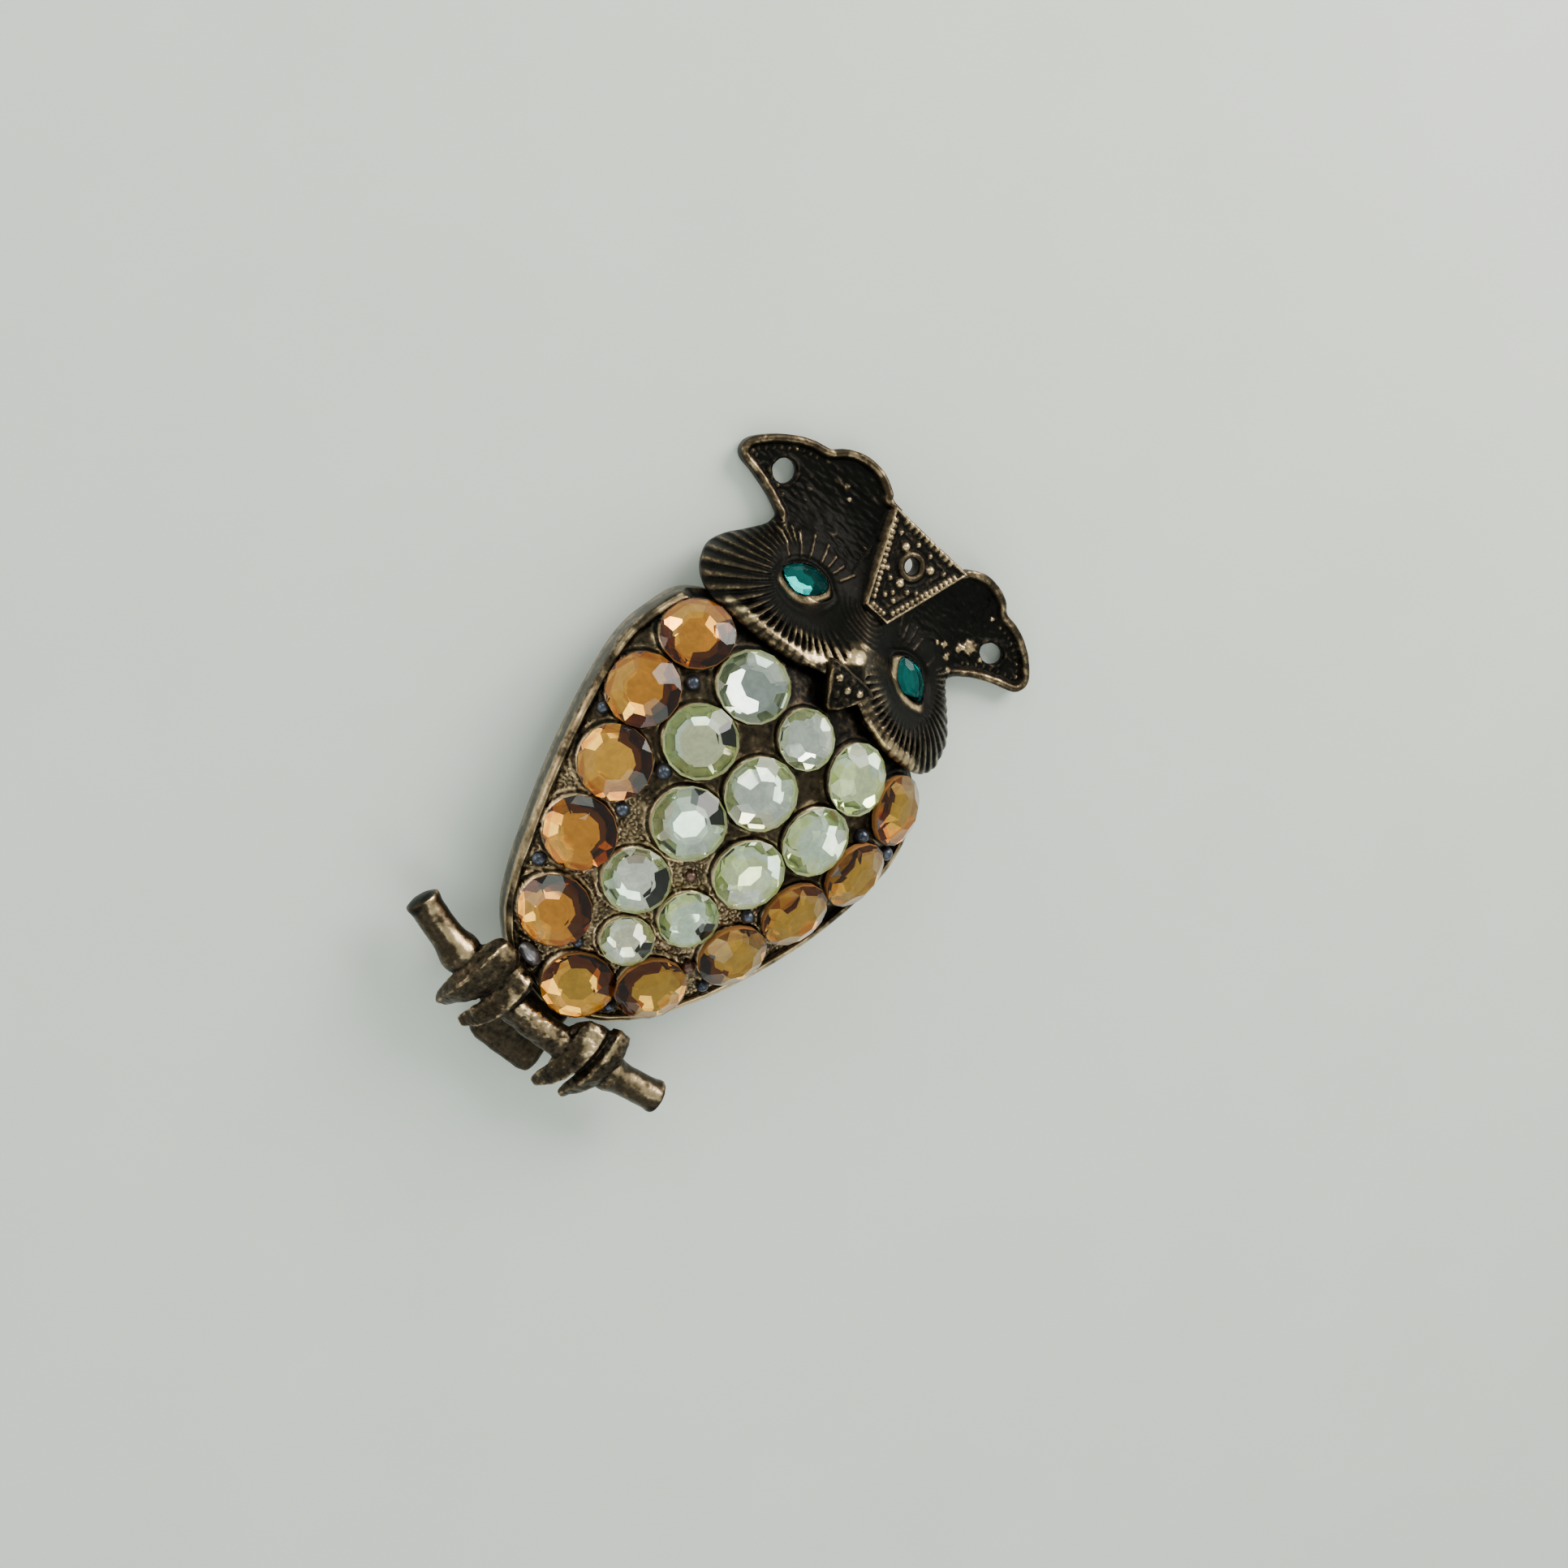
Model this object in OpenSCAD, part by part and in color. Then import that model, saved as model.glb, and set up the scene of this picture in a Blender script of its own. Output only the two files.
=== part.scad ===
// Owl brooch lying on its back. +X is the viewer's right, +Y runs from the perch to the ears,
// +Z stands off the table. The origin is on the table, under the middle of the whole jewel.

/* [Body] */
// Width of the domed body over its rim
body_w = 32.2; // [31.5:0.1:34]
// Length of the body from its lower end to the edge under the head
body_l = 38.4; // [37.8:0.1:41]
// Radius of the dome across the body
cross_r = 24; // [22:0.5:28]
// Radius of the dome along the belly
belly_r = 46; // [42:1:56]
// Radius of the dome where it falls to the head
chest_r = 18; // [16:0.5:20]
// Height of the top of the dome above the table
dome_z = 12.2; // [12:0.1:14]
// Thickness of the cast wall
shell_t = 1.2; // [0.9:0.1:1.5]
// Thickness of the rim that stands around the stones
rim_t = 0.65; // [0.4:0.05:0.7]
// Height of the rim above the floor of the dome
rim_h = 1.1; // [0.7:0.1:1.1]

/* [Stones] */
// Diameter of a large round stone
stone_d = 6.3; // [5.7:0.1:6.3]
// Height of a stone's girdle above the floor of the dome
girdle_h = 1.3; // [1.1:0.1:1.6]
// Height of the seat under each stone
seat_h = 0.3; // [0.2:0.05:0.5]
// Share by which a stone at the tail end lies flatter than the dome under it
set_flat = 0.5; // [0:0.05:0.5]
// Diameter of a small ball between the stones
ball_d = 1.3; // [0.9:0.1:1.4]
// Gap that keeps loose pieces apart
gap = 0.1; // [0.05:0.05:0.2]

/* [Head] */
// Width of the head over the tips of its ears
head_w = 34.4; // [33:0.2:38]
// Length of the field that the head is drawn on
head_l = 20.5; // [20:0.1:23]
// Distance from the belly stone to the lower edge of that field
head_y = 8.5; // [8.4:0.1:10]
// Height of the ears' faces above the table
ear_z = 1.5; // [1.3:0.1:3]
// Rise of the nose above the ears
head_rise = 10; // [9.5:0.1:12]
// Thickness of the head's cast sheet
head_t = 0.9; // [0.6:0.05:1]
// Length by which the right ear lies higher than the left one, halved
ear_skew = 0.9; // [0:0.1:1.2]
// Diameter of the hole in each ear
ear_hole_d = 2.3; // [1.5:0.1:2.8]
// Thickness of the crest plate above the sheet
crest_t = 0.6; // [0.4:0.1:1]
// Diameter of the hole in the crest's ring
crest_hole_d = 1.5; // [1:0.1:1.8]
// Length of the beak
beak_l = 3.4; // [2.8:0.1:3.5]

/* [Eyes] */
// Length of an eye stone
eye_l = 4.4; // [3.8:0.1:4.6]
// Width of an eye stone
eye_w = 2.6; // [2.2:0.1:2.8]
// Wall of the oval setting around it
bezel_t = 0.45; // [0.3:0.05:0.6]
// Turn of an eye about its own face
eye_turn = 23; // [15:1:30]
// Lean of an eye away from the nose
eye_lean = 12; // [0:1:20]

/* [Perch] */
// Length of the branch over its two ends
branch_l = 28.6; // [26:0.2:32]
// Diameter of the branch at its ends
branch_d = 2.8; // [2.2:0.1:3]
// Height of the branch's ends above the table
branch_z = 5.3; // [4.8:0.1:7]
// Length of a toe
toe_l = 6.6; // [5:0.1:7]
// Width of a toe
toe_w = 2.5; // [1.8:0.1:2.6]
// Length of the tail beyond the body
tail_l = 6.6; // [6:0.1:8]
// Width of the tail
tail_w = 7; // [5:0.1:8]
// Thickness of the tail
tail_t = 2.4; // [1.8:0.1:2.5]

/* [Pin] */
// Length of the pin's base strip
pin_l = 25; // [20:0.5:26]
// Width of the base strip
pin_w = 4.4; // [3:0.1:5]
// Thickness of the base strip
pin_t = 0.9; // [0.6:0.1:1.2]
// Height of the base strip's underside above the table
pin_z = 3.6; // [3:0.1:3.8]
// Diameter of the pin's stem
stem_d = 0.9; // [0.6:0.05:1.2]
// Distance from the belly stone up to the pin
pin_y = 6.5; // [4:0.5:8]

/* [Hidden] */
CLEAR_COUNT = 11;
AMBER_COUNT = 11;

// Round stones: place across (share of half the width), place along (share of the length, from the
// belly stone), size (share of a large stone)
ACROSS = 0;
ALONG = 1;
SIZE = 2;
CLEAR_ROWS = [
    [-0.385, 0.164, 1.00],
    [-0.423, 0.001, 1.00],
    [0.000, 0.154, 0.83],
    [0.385, 0.165, 1.00],
    [-0.012, 0.000, 1.00],
    [-0.193, -0.147, 1.00],
    [0.415, 0.001, 1.00],
    [0.244, -0.148, 1.00],
    [-0.181, -0.312, 0.91],
    [0.174, -0.306, 0.83],
    [0.025, -0.427, 0.73],
];
AMBER_ROWS = [
    [-0.747, 0.174, 1.00],
    [-0.786, 0.007, 1.00],
    [-0.660, -0.149, 1.00],
    [-0.545, -0.311, 1.00],
    [-0.351, -0.474, 1.00],
    [0.031, -0.573, 1.00],
    [0.335, -0.479, 1.00],
    [0.539, -0.309, 1.00],
    [0.646, -0.150, 1.00],
    [0.785, 0.005, 1.00],
    [0.748, 0.178, 1.00],
];
// Small balls, with the same columns, their size as a share of ball_d
BALL_ROWS = [
    [-0.620, 0.086, 1.00],
    [-0.853, -0.076, 0.90],
    [-0.452, -0.097, 1.10],
    [-0.470, -0.215, 1.00],
    [-0.575, -0.412, 1.00],
    [-0.245, -0.590, 1.10],
    [-0.130, -0.500, 0.80],
    [0.285, -0.575, 0.85],
    [0.415, -0.390, 1.00],
    [0.580, -0.405, 0.90],
    [0.440, -0.220, 0.90],
    [0.655, 0.080, 1.00],
    [0.898, 0.090, 1.00],
    [0.025, -0.230, 0.80],
];

// Outline of the body: share of the length down from the top edge, share of the half width
DOWN = 0;
WIDE = 1;
BODY_ROWS = [
    [0.000, 0.000],
    [0.010, 0.370],
    [0.042, 0.640],
    [0.096, 0.870],
    [0.182, 0.965],
    [0.273, 1.000],
    [0.390, 0.965],
    [0.495, 0.908],
    [0.573, 0.853],
    [0.651, 0.785],
    [0.729, 0.708],
    [0.807, 0.620],
    [0.893, 0.490],
    [0.964, 0.290],
    [1.000, 0.000],
];
// Shares of the length down from the top edge: the belly stone, the top of the dome, and the end
// of the rim under the head
BELLY_SHARE = 0.3385;
APEX_SHARE = 0.3125;
RIM_SHARE = 0.098;

// Outline of the head: share of the half width, share of the field's length
SIDE = 0;
RISE = 1;
HEAD_ROWS = [
    [0.000, 0.137],
    [0.140, 0.122],
    [0.262, 0.083],
    [0.430, 0.061],
    [0.605, 0.068],
    [0.727, 0.090],
    [0.808, 0.141],
    [0.849, 0.220],
    [0.837, 0.293],
    [0.791, 0.361],
    [0.715, 0.434],
    [0.645, 0.517],
    [0.692, 0.580],
    [0.773, 0.615],
    [0.878, 0.644],
    [0.983, 0.668],
    [1.000, 0.727],
    [0.924, 0.800],
    [0.831, 0.854],
    [0.744, 0.883],
    [0.651, 0.898],
    [0.587, 0.941],
    [0.494, 0.963],
    [0.390, 0.956],
    [0.308, 0.922],
    [0.256, 0.893],
    [0.000, 0.888],
];
// First and last row of the polished edge around each ear
EAR_FIRST = 12;
EAR_LAST = 25;

// Relief of the head: one row for each section from the beak to the crest, one column for each
// station from the nose to the ear's tip, each the share of head_rise above the ears
RELIEF = [
    [0.98, 0.93, 0.88, 0.79, 0.52, 0.16],
    [1.00, 0.95, 0.89, 0.76, 0.46, 0.06],
    [0.98, 0.75, 0.66, 0.62, 0.36, 0.02],
    [0.74, 0.46, 0.38, 0.38, 0.16, 0.00],
    [0.42, 0.34, 0.30, 0.17, 0.03, 0.00],
    [0.34, 0.25, 0.18, 0.06, 0.00, 0.00],
    [0.30, 0.22, 0.10, 0.02, 0.01, 0.00],
    [0.28, 0.23, 0.14, 0.04, 0.01, 0.00],
    [0.28, 0.23, 0.16, 0.06, 0.01, 0.00],
];

// Places on the head, as shares of its half width and of the field's length
EYE_AT = [0.392, 0.390];
EAR_HOLE_AT = [0.756, 0.727];
CREST_TIP_AT = [0.060, 0.500];
CREST_CORNER_AT = [0.256, 0.890];
CREST_RING_AT = [0, 0.745];
BEAK_TOP_AT = [0.120, 0.185];

// Places along the half length of the branch, and how far its middle bows towards the tail
FOOT_LEFT = -0.34;
FOOT_RIGHT = 0.416;
BOW_LEFT = 0.09;
BOW_RIGHT = 0.042;

half_w = body_w / 2;
half_head = head_w / 2;
body_top = body_l * BELLY_SHARE;
body_end = body_top - body_l;
axis_z = dome_z - cross_r;
apex_y = body_top - body_l * APEX_SHARE;
rim_end_y = body_top - body_l * RIM_SHARE;
ear_top_y = head_y + head_l * HEAD_ROWS[22][RISE] + head_t / 2;
tail_end_y = body_end - tail_l;
middle_y = (ear_top_y + tail_end_y) / 2;
pin_top_z = pin_z + pin_t;
stem_z = pin_z * 0.42;
block_l = pin_w * 0.5;
block_w = pin_w * 0.6;
post_x = pin_l * 0.36;
post_d = pin_w * 0.6;
crown_share = 0.40;
table_share = 0.50;
break_share = 0.80;
break_rise = 0.45;
culet_share = 0.62;
girdle_share = 0.02;
eye_depth = eye_w * 0.23;
eye_table_h = eye_w * 0.29;
eye_girdle_h = eye_w * 0.04;
bezel_h = bezel_t * 0.67;
leg_x = body_w * 0.13;
leg_y = body_top - body_l * 0.055;
leg_d = body_w * 0.0435;
branch_r = branch_d / 2;
log_y = body_end - branch_r - 3 * gap;
log_z = branch_z + branch_d * 0.36;
tail_x = body_w * 0.037;
tail_root_z = tail_t * 0.25;
tail_root_t = tail_t * 0.83;
tail_root_w = tail_w * 0.8;
tail_root_l = tail_l * 0.6;
SMOOTH = 160;
PIN_SMOOTH = 48;
BALL_SMOOTH = 32;
LIMB_SMOOTH = 20;
TOE_SMOOTH = 12;
LOW = 8;

function pad(i) = i < 10 ? str("0", i) : str(i);

// A smooth curve through four values, and a smooth reading of a list between its entries
function curve(a, b, c, d, t) =
    b + t / 2 * ((c - a) + t * ((2 * a - 5 * b + 4 * c - d) + t * (3 * (b - c) + d - a)));
function entry(list, i) = list[max(0, min(len(list) - 1, i))];
function folded(list, i) = list[min(len(list) - 1, abs(i))];
function read(list, s) =
    let (i = floor(s), t = s - i)
    curve(entry(list, i - 1), entry(list, i), entry(list, i + 1), entry(list, i + 2), t);
function read_folded(list, s) =
    let (i = floor(s), t = s - i)
    curve(folded(list, i - 1), folded(list, i), folded(list, i + 1), folded(list, i + 2), t);

// The body's outline in millimetres, smoothed between its rows and mirrored
OUTLINE_STEPS = 3;
function outline_point(s) =
    let (p = read(BODY_ROWS, s))
    [half_w * max(0, p[WIDE]), body_top - body_l * p[DOWN]];
function outline_side() =
    [for (k = [0:(len(BODY_ROWS) - 1) * OUTLINE_STEPS]) outline_point(k / OUTLINE_STEPS)];
function mirrored(side) =
    let (last = len(side) - 1)
    concat(side, [for (k = [last - 1:-1:1]) [-side[k][0], side[k][1]]]);
function unit(v) = v / norm(v);
function inset(points, d) =
    let (n = len(points))
    [for (k = [0:n - 1])
        let (a = points[(k + n - 1) % n], c = points[(k + 1) % n], along = unit(c - a))
        points[k] + d * [along[1], -along[0]]];

// The dome: a barrel whose axis runs along Y under the table, raised or sunk by d
function long_r(y) = y < apex_y ? belly_r : chest_r;
function barrel_r(y, d = 0) =
    let (r = long_r(y))
    cross_r - r + sqrt(pow(r + d, 2) - pow(y - apex_y, 2));
function dome_at(x, y, d = 0) = axis_z + sqrt(pow(barrel_r(y, d), 2) - x * x);

module barrel(d) {
    reach = belly_r;
    translate([0, apex_y, axis_z]) rotate([-90, 0, 0]) rotate_extrude($fn = SMOOTH)
        union() {
            intersection() {
                translate([cross_r - belly_r, 0]) circle(belly_r + d, $fn = 2 * SMOOTH);
                translate([0, -reach]) square([reach, reach]);
            }
            intersection() {
                translate([cross_r - chest_r, 0]) circle(chest_r + d, $fn = SMOOTH);
                square([reach, reach]);
            }
        }
}

// Stands its children on the dome at a row's place, d above the floor, leaning as the dome does
module on_dome(row, d) {
    x = row[ACROSS] * half_w;
    y = row[ALONG] * body_l;
    r = barrel_r(y, d);
    fall = asin((y - apex_y) / (long_r(y) + d));
    translate([0, 0, axis_z]) rotate([0, asin(x / r), 0]) translate([0, y, r])
        rotate([-fall, 0, 0]) children();
}

module body_prism(points) linear_extrude(height = dome_z + rim_h + shell_t) polygon(points);

module body_shell() color("#5b4430") {
    outer = mirrored(outline_side());
    inner = inset(outer, rim_t);
    difference() {
        intersection() {
            body_prism(outer);
            barrel(rim_h);
        }
        barrel(-shell_t);
        difference() {
            union() {
                body_prism(inner);
                translate([-body_w, rim_end_y, 0]) cube([2 * body_w, body_l, 2 * dome_z]);
            }
            barrel(0);
        }
    }
    for (row = concat(CLEAR_ROWS, AMBER_ROWS)) stone_seat(row);
    for (side = [-1, 1]) {
        post_under(side * post_x, pin_y, pin_top_z, post_d);
        leg_pad(side);
    }
    tail_block();
}

// A stone leans as the dome does, less so towards the tail, where its seat is then a little higher
function dome_fall(y) = asin((y - apex_y) / (long_r(y) + girdle_h));
function stone_fall(y) = dome_fall(y) * (1 - set_flat * max(0, y / body_end));
function seat_rise(row) =
    let (y = row[ALONG] * body_l)
    stone_d * row[SIZE] / 2 * culet_share * sin(abs(dome_fall(y) - stone_fall(y)));

// Stands its children at the middle of a stone's girdle, leaning as the stone does
module at_girdle(row) {
    x = row[ACROSS] * half_w;
    y = row[ALONG] * body_l;
    r = barrel_r(y, girdle_h);
    translate([0, 0, axis_z]) rotate([0, asin(x / r), 0]) translate([0, y, r])
        rotate([-stone_fall(y), 0, 0]) translate([0, 0, seat_rise(row)]) children();
}

module stone_seat(row) {
    root = girdle_h + seat_rise(row) + shell_t / 2;
    at_girdle(row) translate([0, 0, -root])
        cylinder(h = root - girdle_h + seat_h, d = stone_d * row[SIZE] * culet_share, $fn = BALL_SMOOTH);
}

// A post that hangs from the underside of the dome down to a flat end at low_z
module post_under(x, y, low_z, d) {
    top = dome_at(x, y, -shell_t / 2);
    translate([x, y, low_z]) cylinder(h = top - low_z, d = d, $fn = PIN_SMOOTH);
}

// The block under the lower end, with a flat face to which the tail is soldered
module tail_block() intersection() {
    translate([tail_x - tail_root_w / 2, body_end, tail_root_z])
        cube([tail_root_w, tail_root_l, dome_z]);
    barrel(-shell_t / 2);
}

// A flat pad on which a leg of the head stands
module leg_pad(side) {
    low = dome_at(leg_x, leg_y, -shell_t / 2);
    translate([side * leg_x, leg_y, low]) cylinder(h = leg_z - low, d = leg_d, $fn = PIN_SMOOTH);
}

// A round stone with an eight-sided table, eight main facets, sixteen small ones and a foiled back
function ring(n, r, z, turn = 0) =
    [for (k = [0:n - 1]) [r * cos(360 * k / n + turn), r * sin(360 * k / n + turn), z]];

module round_stone(d, depth) {
    r = d / 2;
    girdle = d * girdle_share;
    points = concat(
        ring(8, r * table_share, r * crown_share),
        ring(8, r * break_share, r * crown_share * break_rise),
        ring(16, r, girdle, 11.25),
        ring(16, r, -girdle, 11.25),
        ring(16, r * culet_share, -depth, 11.25)
    );
    BREAK = 8;
    EDGE = 16;
    UNDER = 32;
    BACK = 48;
    faces = concat(
        [[for (k = [7:-1:0]) k]],
        [for (k = [0:7]) [k, (k + 1) % 8, BREAK + (k + 1) % 8]],
        [for (k = [0:7]) [k, BREAK + (k + 1) % 8, BREAK + k]],
        [for (k = [0:7]) [BREAK + k, BREAK + (k + 1) % 8, EDGE + 2 * k + 1]],
        [for (k = [0:7]) [BREAK + k, EDGE + 2 * k + 1, EDGE + 2 * k]],
        [for (k = [0:7]) [BREAK + k, EDGE + 2 * k, EDGE + (2 * k + 15) % 16]],
        [for (k = [0:15]) each quad(EDGE, UNDER, k)],
        [for (k = [0:15]) each quad(UNDER, BACK, k)],
        [[for (k = [0:15]) BACK + k]]
    );
    polyhedron(points, [for (f = faces) [f[0], for (k = [len(f) - 1:-1:1]) f[k]]]);
}
function quad(upper, lower, k) =
    let (n = 16, m = (k + 1) % n)
    [[upper + k, upper + m, lower + k], [upper + m, lower + m, lower + k]];

module seated_stone(row, name)
    color(name) at_girdle(row)
        round_stone(stone_d * row[SIZE], girdle_h - seat_h);

module amber(i) seated_stone(AMBER_ROWS[i - 1], "#c98a35");
module clear(i) seated_stone(CLEAR_ROWS[i - 1], "#d9e6d2");

module ball(i) {
    row = BALL_ROWS[i - 1];
    r = ball_d * row[SIZE] / 2;
    color("#3c4248") on_dome(row, r + gap) sphere(r, $fn = BALL_SMOOTH);
}

// Places on the head: a share of the half width and of the field, the height there, and the skew
// that lifts the right ear
function ear_share(x) = max(0, abs(x) / half_head - 0.5) * 2 * sign(x);
function head_point(at, side) =
    let (x = side * at[SIDE] * half_head)
    [x, head_y + head_l * at[RISE] + ear_skew * ear_share(x)];
function head_z(p) =
    let (y = p[1] - ear_skew * ear_share(p[0]),
        along = (y - head_y) / head_l * (len(RELIEF) - 1),
        across = abs(p[0]) / half_head * (len(RELIEF[0]) - 1),
        station = [for (row = RELIEF) read_folded(row, across)])
    ear_z + head_rise * read(station, along);
function on_head(p, lift = 0) = [p[0], p[1], head_z(p) + lift];

module head_sheet() {
    COLUMNS = 28;
    ROWS = 18;
    overhang = 0.02;
    grid = [for (j = [0:ROWS]) for (i = [0:COLUMNS])
        [(2 * i / COLUMNS - 1) * half_head * (1 + overhang),
         head_y - ear_skew + (head_l + 2 * ear_skew) * j / ROWS]];
    count = len(grid);
    wide = COLUMNS + 1;
    points = concat([for (p = grid) on_head(p)], [for (p = grid) on_head(p, -head_t)]);
    faces = concat(
        [for (j = [0:ROWS - 1]) for (i = [0:COLUMNS - 1])
            let (a = j * wide + i, b = a + 1, c = b + wide, d = a + wide)
            each [[a, c, b], [a, d, c], [count + a, count + b, count + c],
                [count + a, count + c, count + d]]],
        [for (i = [0:COLUMNS - 1])
            let (a = i, b = i + 1, c = ROWS * wide + i, d = c + 1)
            each [[a, b, count + b], [a, count + b, count + a], [d, c, count + c],
                [d, count + c, count + d]]],
        [for (j = [0:ROWS - 1])
            let (a = j * wide, b = a + wide, c = a + COLUMNS, d = b + COLUMNS)
            each [[b, a, count + a], [b, count + a, count + b], [c, d, count + d],
                [c, count + d, count + c]]]
    );
    polyhedron(points, faces);
}

// The head's outline, once round: up its right side and down its left one
function head_loop() =
    let (last = len(HEAD_ROWS) - 1)
    concat(
        [for (k = [0:last]) head_point(HEAD_ROWS[k], 1)],
        [for (k = [last - 1:-1:1]) head_point(HEAD_ROWS[k], -1)]
    );

module bar(a, b, r, facets) hull() {
    translate(a) sphere(r, $fn = facets);
    translate(b) sphere(r, $fn = facets);
}

// The polished edge that runs around an ear, a little inside the outline
module ear_edge(side) {
    r = head_t * 0.5;
    loop = inset(head_loop(), -head_t * 0.17);
    for (k = [EAR_FIRST:EAR_LAST - 1]) {
        a = loop[side > 0 ? k : len(loop) - k];
        b = loop[side > 0 ? k + 1 : len(loop) - k - 1];
        bar(on_head(a, -r / 2), on_head(b, -r / 2), r, LOW);
    }
}

// Ribs that run outwards from an eye over the rim of its disc
module disc_ribs(side) {
    RIBS = 13;
    FIRST_TURN = 40;
    LAST_TURN = -125;
    RIB_FACETS = 6;
    eye = head_point(EYE_AT, side);
    stops = eye_l * [0.78, 1.15, 1.6];
    rib_r = head_t * 0.3;
    for (k = [0:RIBS - 1]) {
        turn = FIRST_TURN + (LAST_TURN - FIRST_TURN) * k / (RIBS - 1);
        way = [side * cos(turn), sin(turn)];
        for (j = [0, 1])
            bar(on_head(eye + stops[j] * way), on_head(eye + stops[j + 1] * way), rib_r, RIB_FACETS);
    }
}

// Stands its children on the face of an eye setting
module at_eye(side) {
    eye = head_point(EYE_AT, side);
    translate(on_head(eye, bezel_h))
        rotate([-eye_lean, side * eye_lean, 0]) rotate([0, 0, -side * eye_turn]) children();
}

module oval(l, w, h) scale([l, w, 1]) cylinder(h = h, d = 1, $fn = LIMB_SMOOTH);

module eye_bezel(side)
    at_eye(side) translate([0, 0, -eye_depth - head_t])
        oval(eye_l + 2 * (bezel_t + gap), eye_w + 2 * (bezel_t + gap), eye_depth + head_t + bezel_h);

module eye_pocket(side)
    at_eye(side) translate([0, 0, -eye_depth]) oval(eye_l + 2 * gap, eye_w + 2 * gap, eye_l);

// The crest: a flat plate between the ears with a ring and three beads on it
function crest_ring() = head_point(CREST_RING_AT, 1);
module crest() {
    tip = head_point(CREST_TIP_AT, 1);
    corner = head_point(CREST_CORNER_AT, 1);
    top_z = head_z(tip) + crest_t;
    corner_z = head_z([0, corner[1]]) + crest_t;
    plate_t = crest_t + head_t * 0.7;
    edge_r = crest_t / 2;
    hull() for (side = [-1, 1]) {
        translate([side * tip[0], tip[1], top_z - plate_t])
            cylinder(h = plate_t, r = edge_r, $fn = LOW);
        translate([side * corner[0], corner[1], corner_z - plate_t])
            cylinder(h = plate_t, r = edge_r, $fn = LOW);
    }
    ring_t = crest_hole_d * 0.3;
    bead_r = crest_hole_d * 0.28;
    at = crest_ring();
    ring_z = (2 * top_z + 3 * corner_z) / 5;
    translate([at[0], at[1], ring_z - head_t])
        cylinder(h = head_t + ring_t, d = crest_hole_d + 2 * ring_t, $fn = LIMB_SMOOTH);
    for (turn = [30, 150, 270]) {
        way = [cos(turn), sin(turn)];
        spot = at + (crest_hole_d / 2 + 2 * bead_r + ring_t / 2) * way;
        translate([spot[0], spot[1], ring_z]) sphere(bead_r, $fn = LOW);
    }
}

module crest_hole()
    translate([crest_ring()[0], crest_ring()[1], -1])
        cylinder(h = dome_z, d = crest_hole_d, $fn = LIMB_SMOOTH);

module ear_hole(side) {
    at = head_point(EAR_HOLE_AT, side);
    translate([at[0], at[1], -1]) cylinder(h = dome_z, d = ear_hole_d, $fn = LIMB_SMOOTH);
}

// The shield-shaped beak, proud of the face and hanging over the breast
module beak() {
    top = head_point(BEAK_TOP_AT, 1);
    tip_y = top[1] - beak_l;
    z = head_z([0, top[1]]);
    root_r = beak_l * 0.16;
    tip_r = beak_l * 0.12;
    hull() {
        for (side = [-1, 1]) {
            translate([side * top[0], top[1], z - root_r / 2]) sphere(root_r, $fn = LOW);
            translate([side * tip_r, tip_y + tip_r, z]) sphere(tip_r, $fn = LOW);
        }
        translate([0, top[1] - beak_l * 0.35, z + root_r]) sphere(root_r, $fn = LOW);
    }
}

// A flat-ended leg under the face that stands on the body
leg_corner = leg_d / 2 * cos(45);
leg_z = dome_at(leg_x - leg_corner, leg_y - leg_corner) + gap;
module head_leg(side)
    translate([side * leg_x, leg_y, leg_z])
        cylinder(h = head_z([leg_x, leg_y]) - leg_z - head_t / 2, d = leg_d, $fn = LIMB_SMOOTH);

module head() color("#4a3828") difference() {
    union() {
        intersection() {
            union() {
                head_sheet();
                for (side = [-1, 1]) disc_ribs(side);
            }
            linear_extrude(height = dome_z + head_rise) polygon(head_loop());
        }
        for (side = [-1, 1]) {
            ear_edge(side);
            eye_bezel(side);
            head_leg(side);
        }
        crest();
        beak();
    }
    for (side = [-1, 1]) {
        eye_pocket(side);
        ear_hole(side);
    }
    crest_hole();
}

// A pointed oval stone, with a table and a flat back, resting in its pocket
SIDES = 12;
function lens(l, w, z) =
    [for (k = [0:SIDES - 1])
        let (a = 360 * k / SIDES, c = cos(a))
        [l / 2 * c, w / 2 * sin(a) * (1 - 0.25 * c * c), z]];

module eye(side) color("#0f7f80") {
    points = concat(
        lens(eye_l * table_share, eye_w * table_share, eye_table_h),
        lens(eye_l, eye_w, eye_girdle_h),
        lens(eye_l, eye_w, -eye_girdle_h),
        lens(eye_l * culet_share, eye_w * culet_share, -eye_depth)
    );
    faces = concat(
        [[for (k = [SIDES - 1:-1:0]) k]],
        [for (level = [0:2]) for (k = [0:SIDES - 1])
            let (a = level * SIDES + k, b = level * SIDES + (k + 1) % SIDES)
            each [[a, b, b + SIDES], [a, b + SIDES, a + SIDES]]],
        [[for (k = [0:SIDES - 1]) 3 * SIDES + k]]
    );
    at_eye(side) polyhedron(points, faces);
}

// Round limb between two points, tapering from one radius to the other
module limb(a, b, ra, rb) {
    way = b - a;
    translate(a) rotate([0, acos(way[2] / norm(way)), atan2(way[1], way[0])])
        cylinder(h = norm(way), r1 = ra, r2 = rb, $fn = LIMB_SMOOTH);
}

// The branch: round, bowed towards the tail, with two flared ends
function branch_at(s) =
    [s * branch_l / 2, log_y + branch_l * s * s * (s < 0 ? BOW_LEFT : BOW_RIGHT),
     log_z + (branch_z - log_z) * abs(s)];

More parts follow.
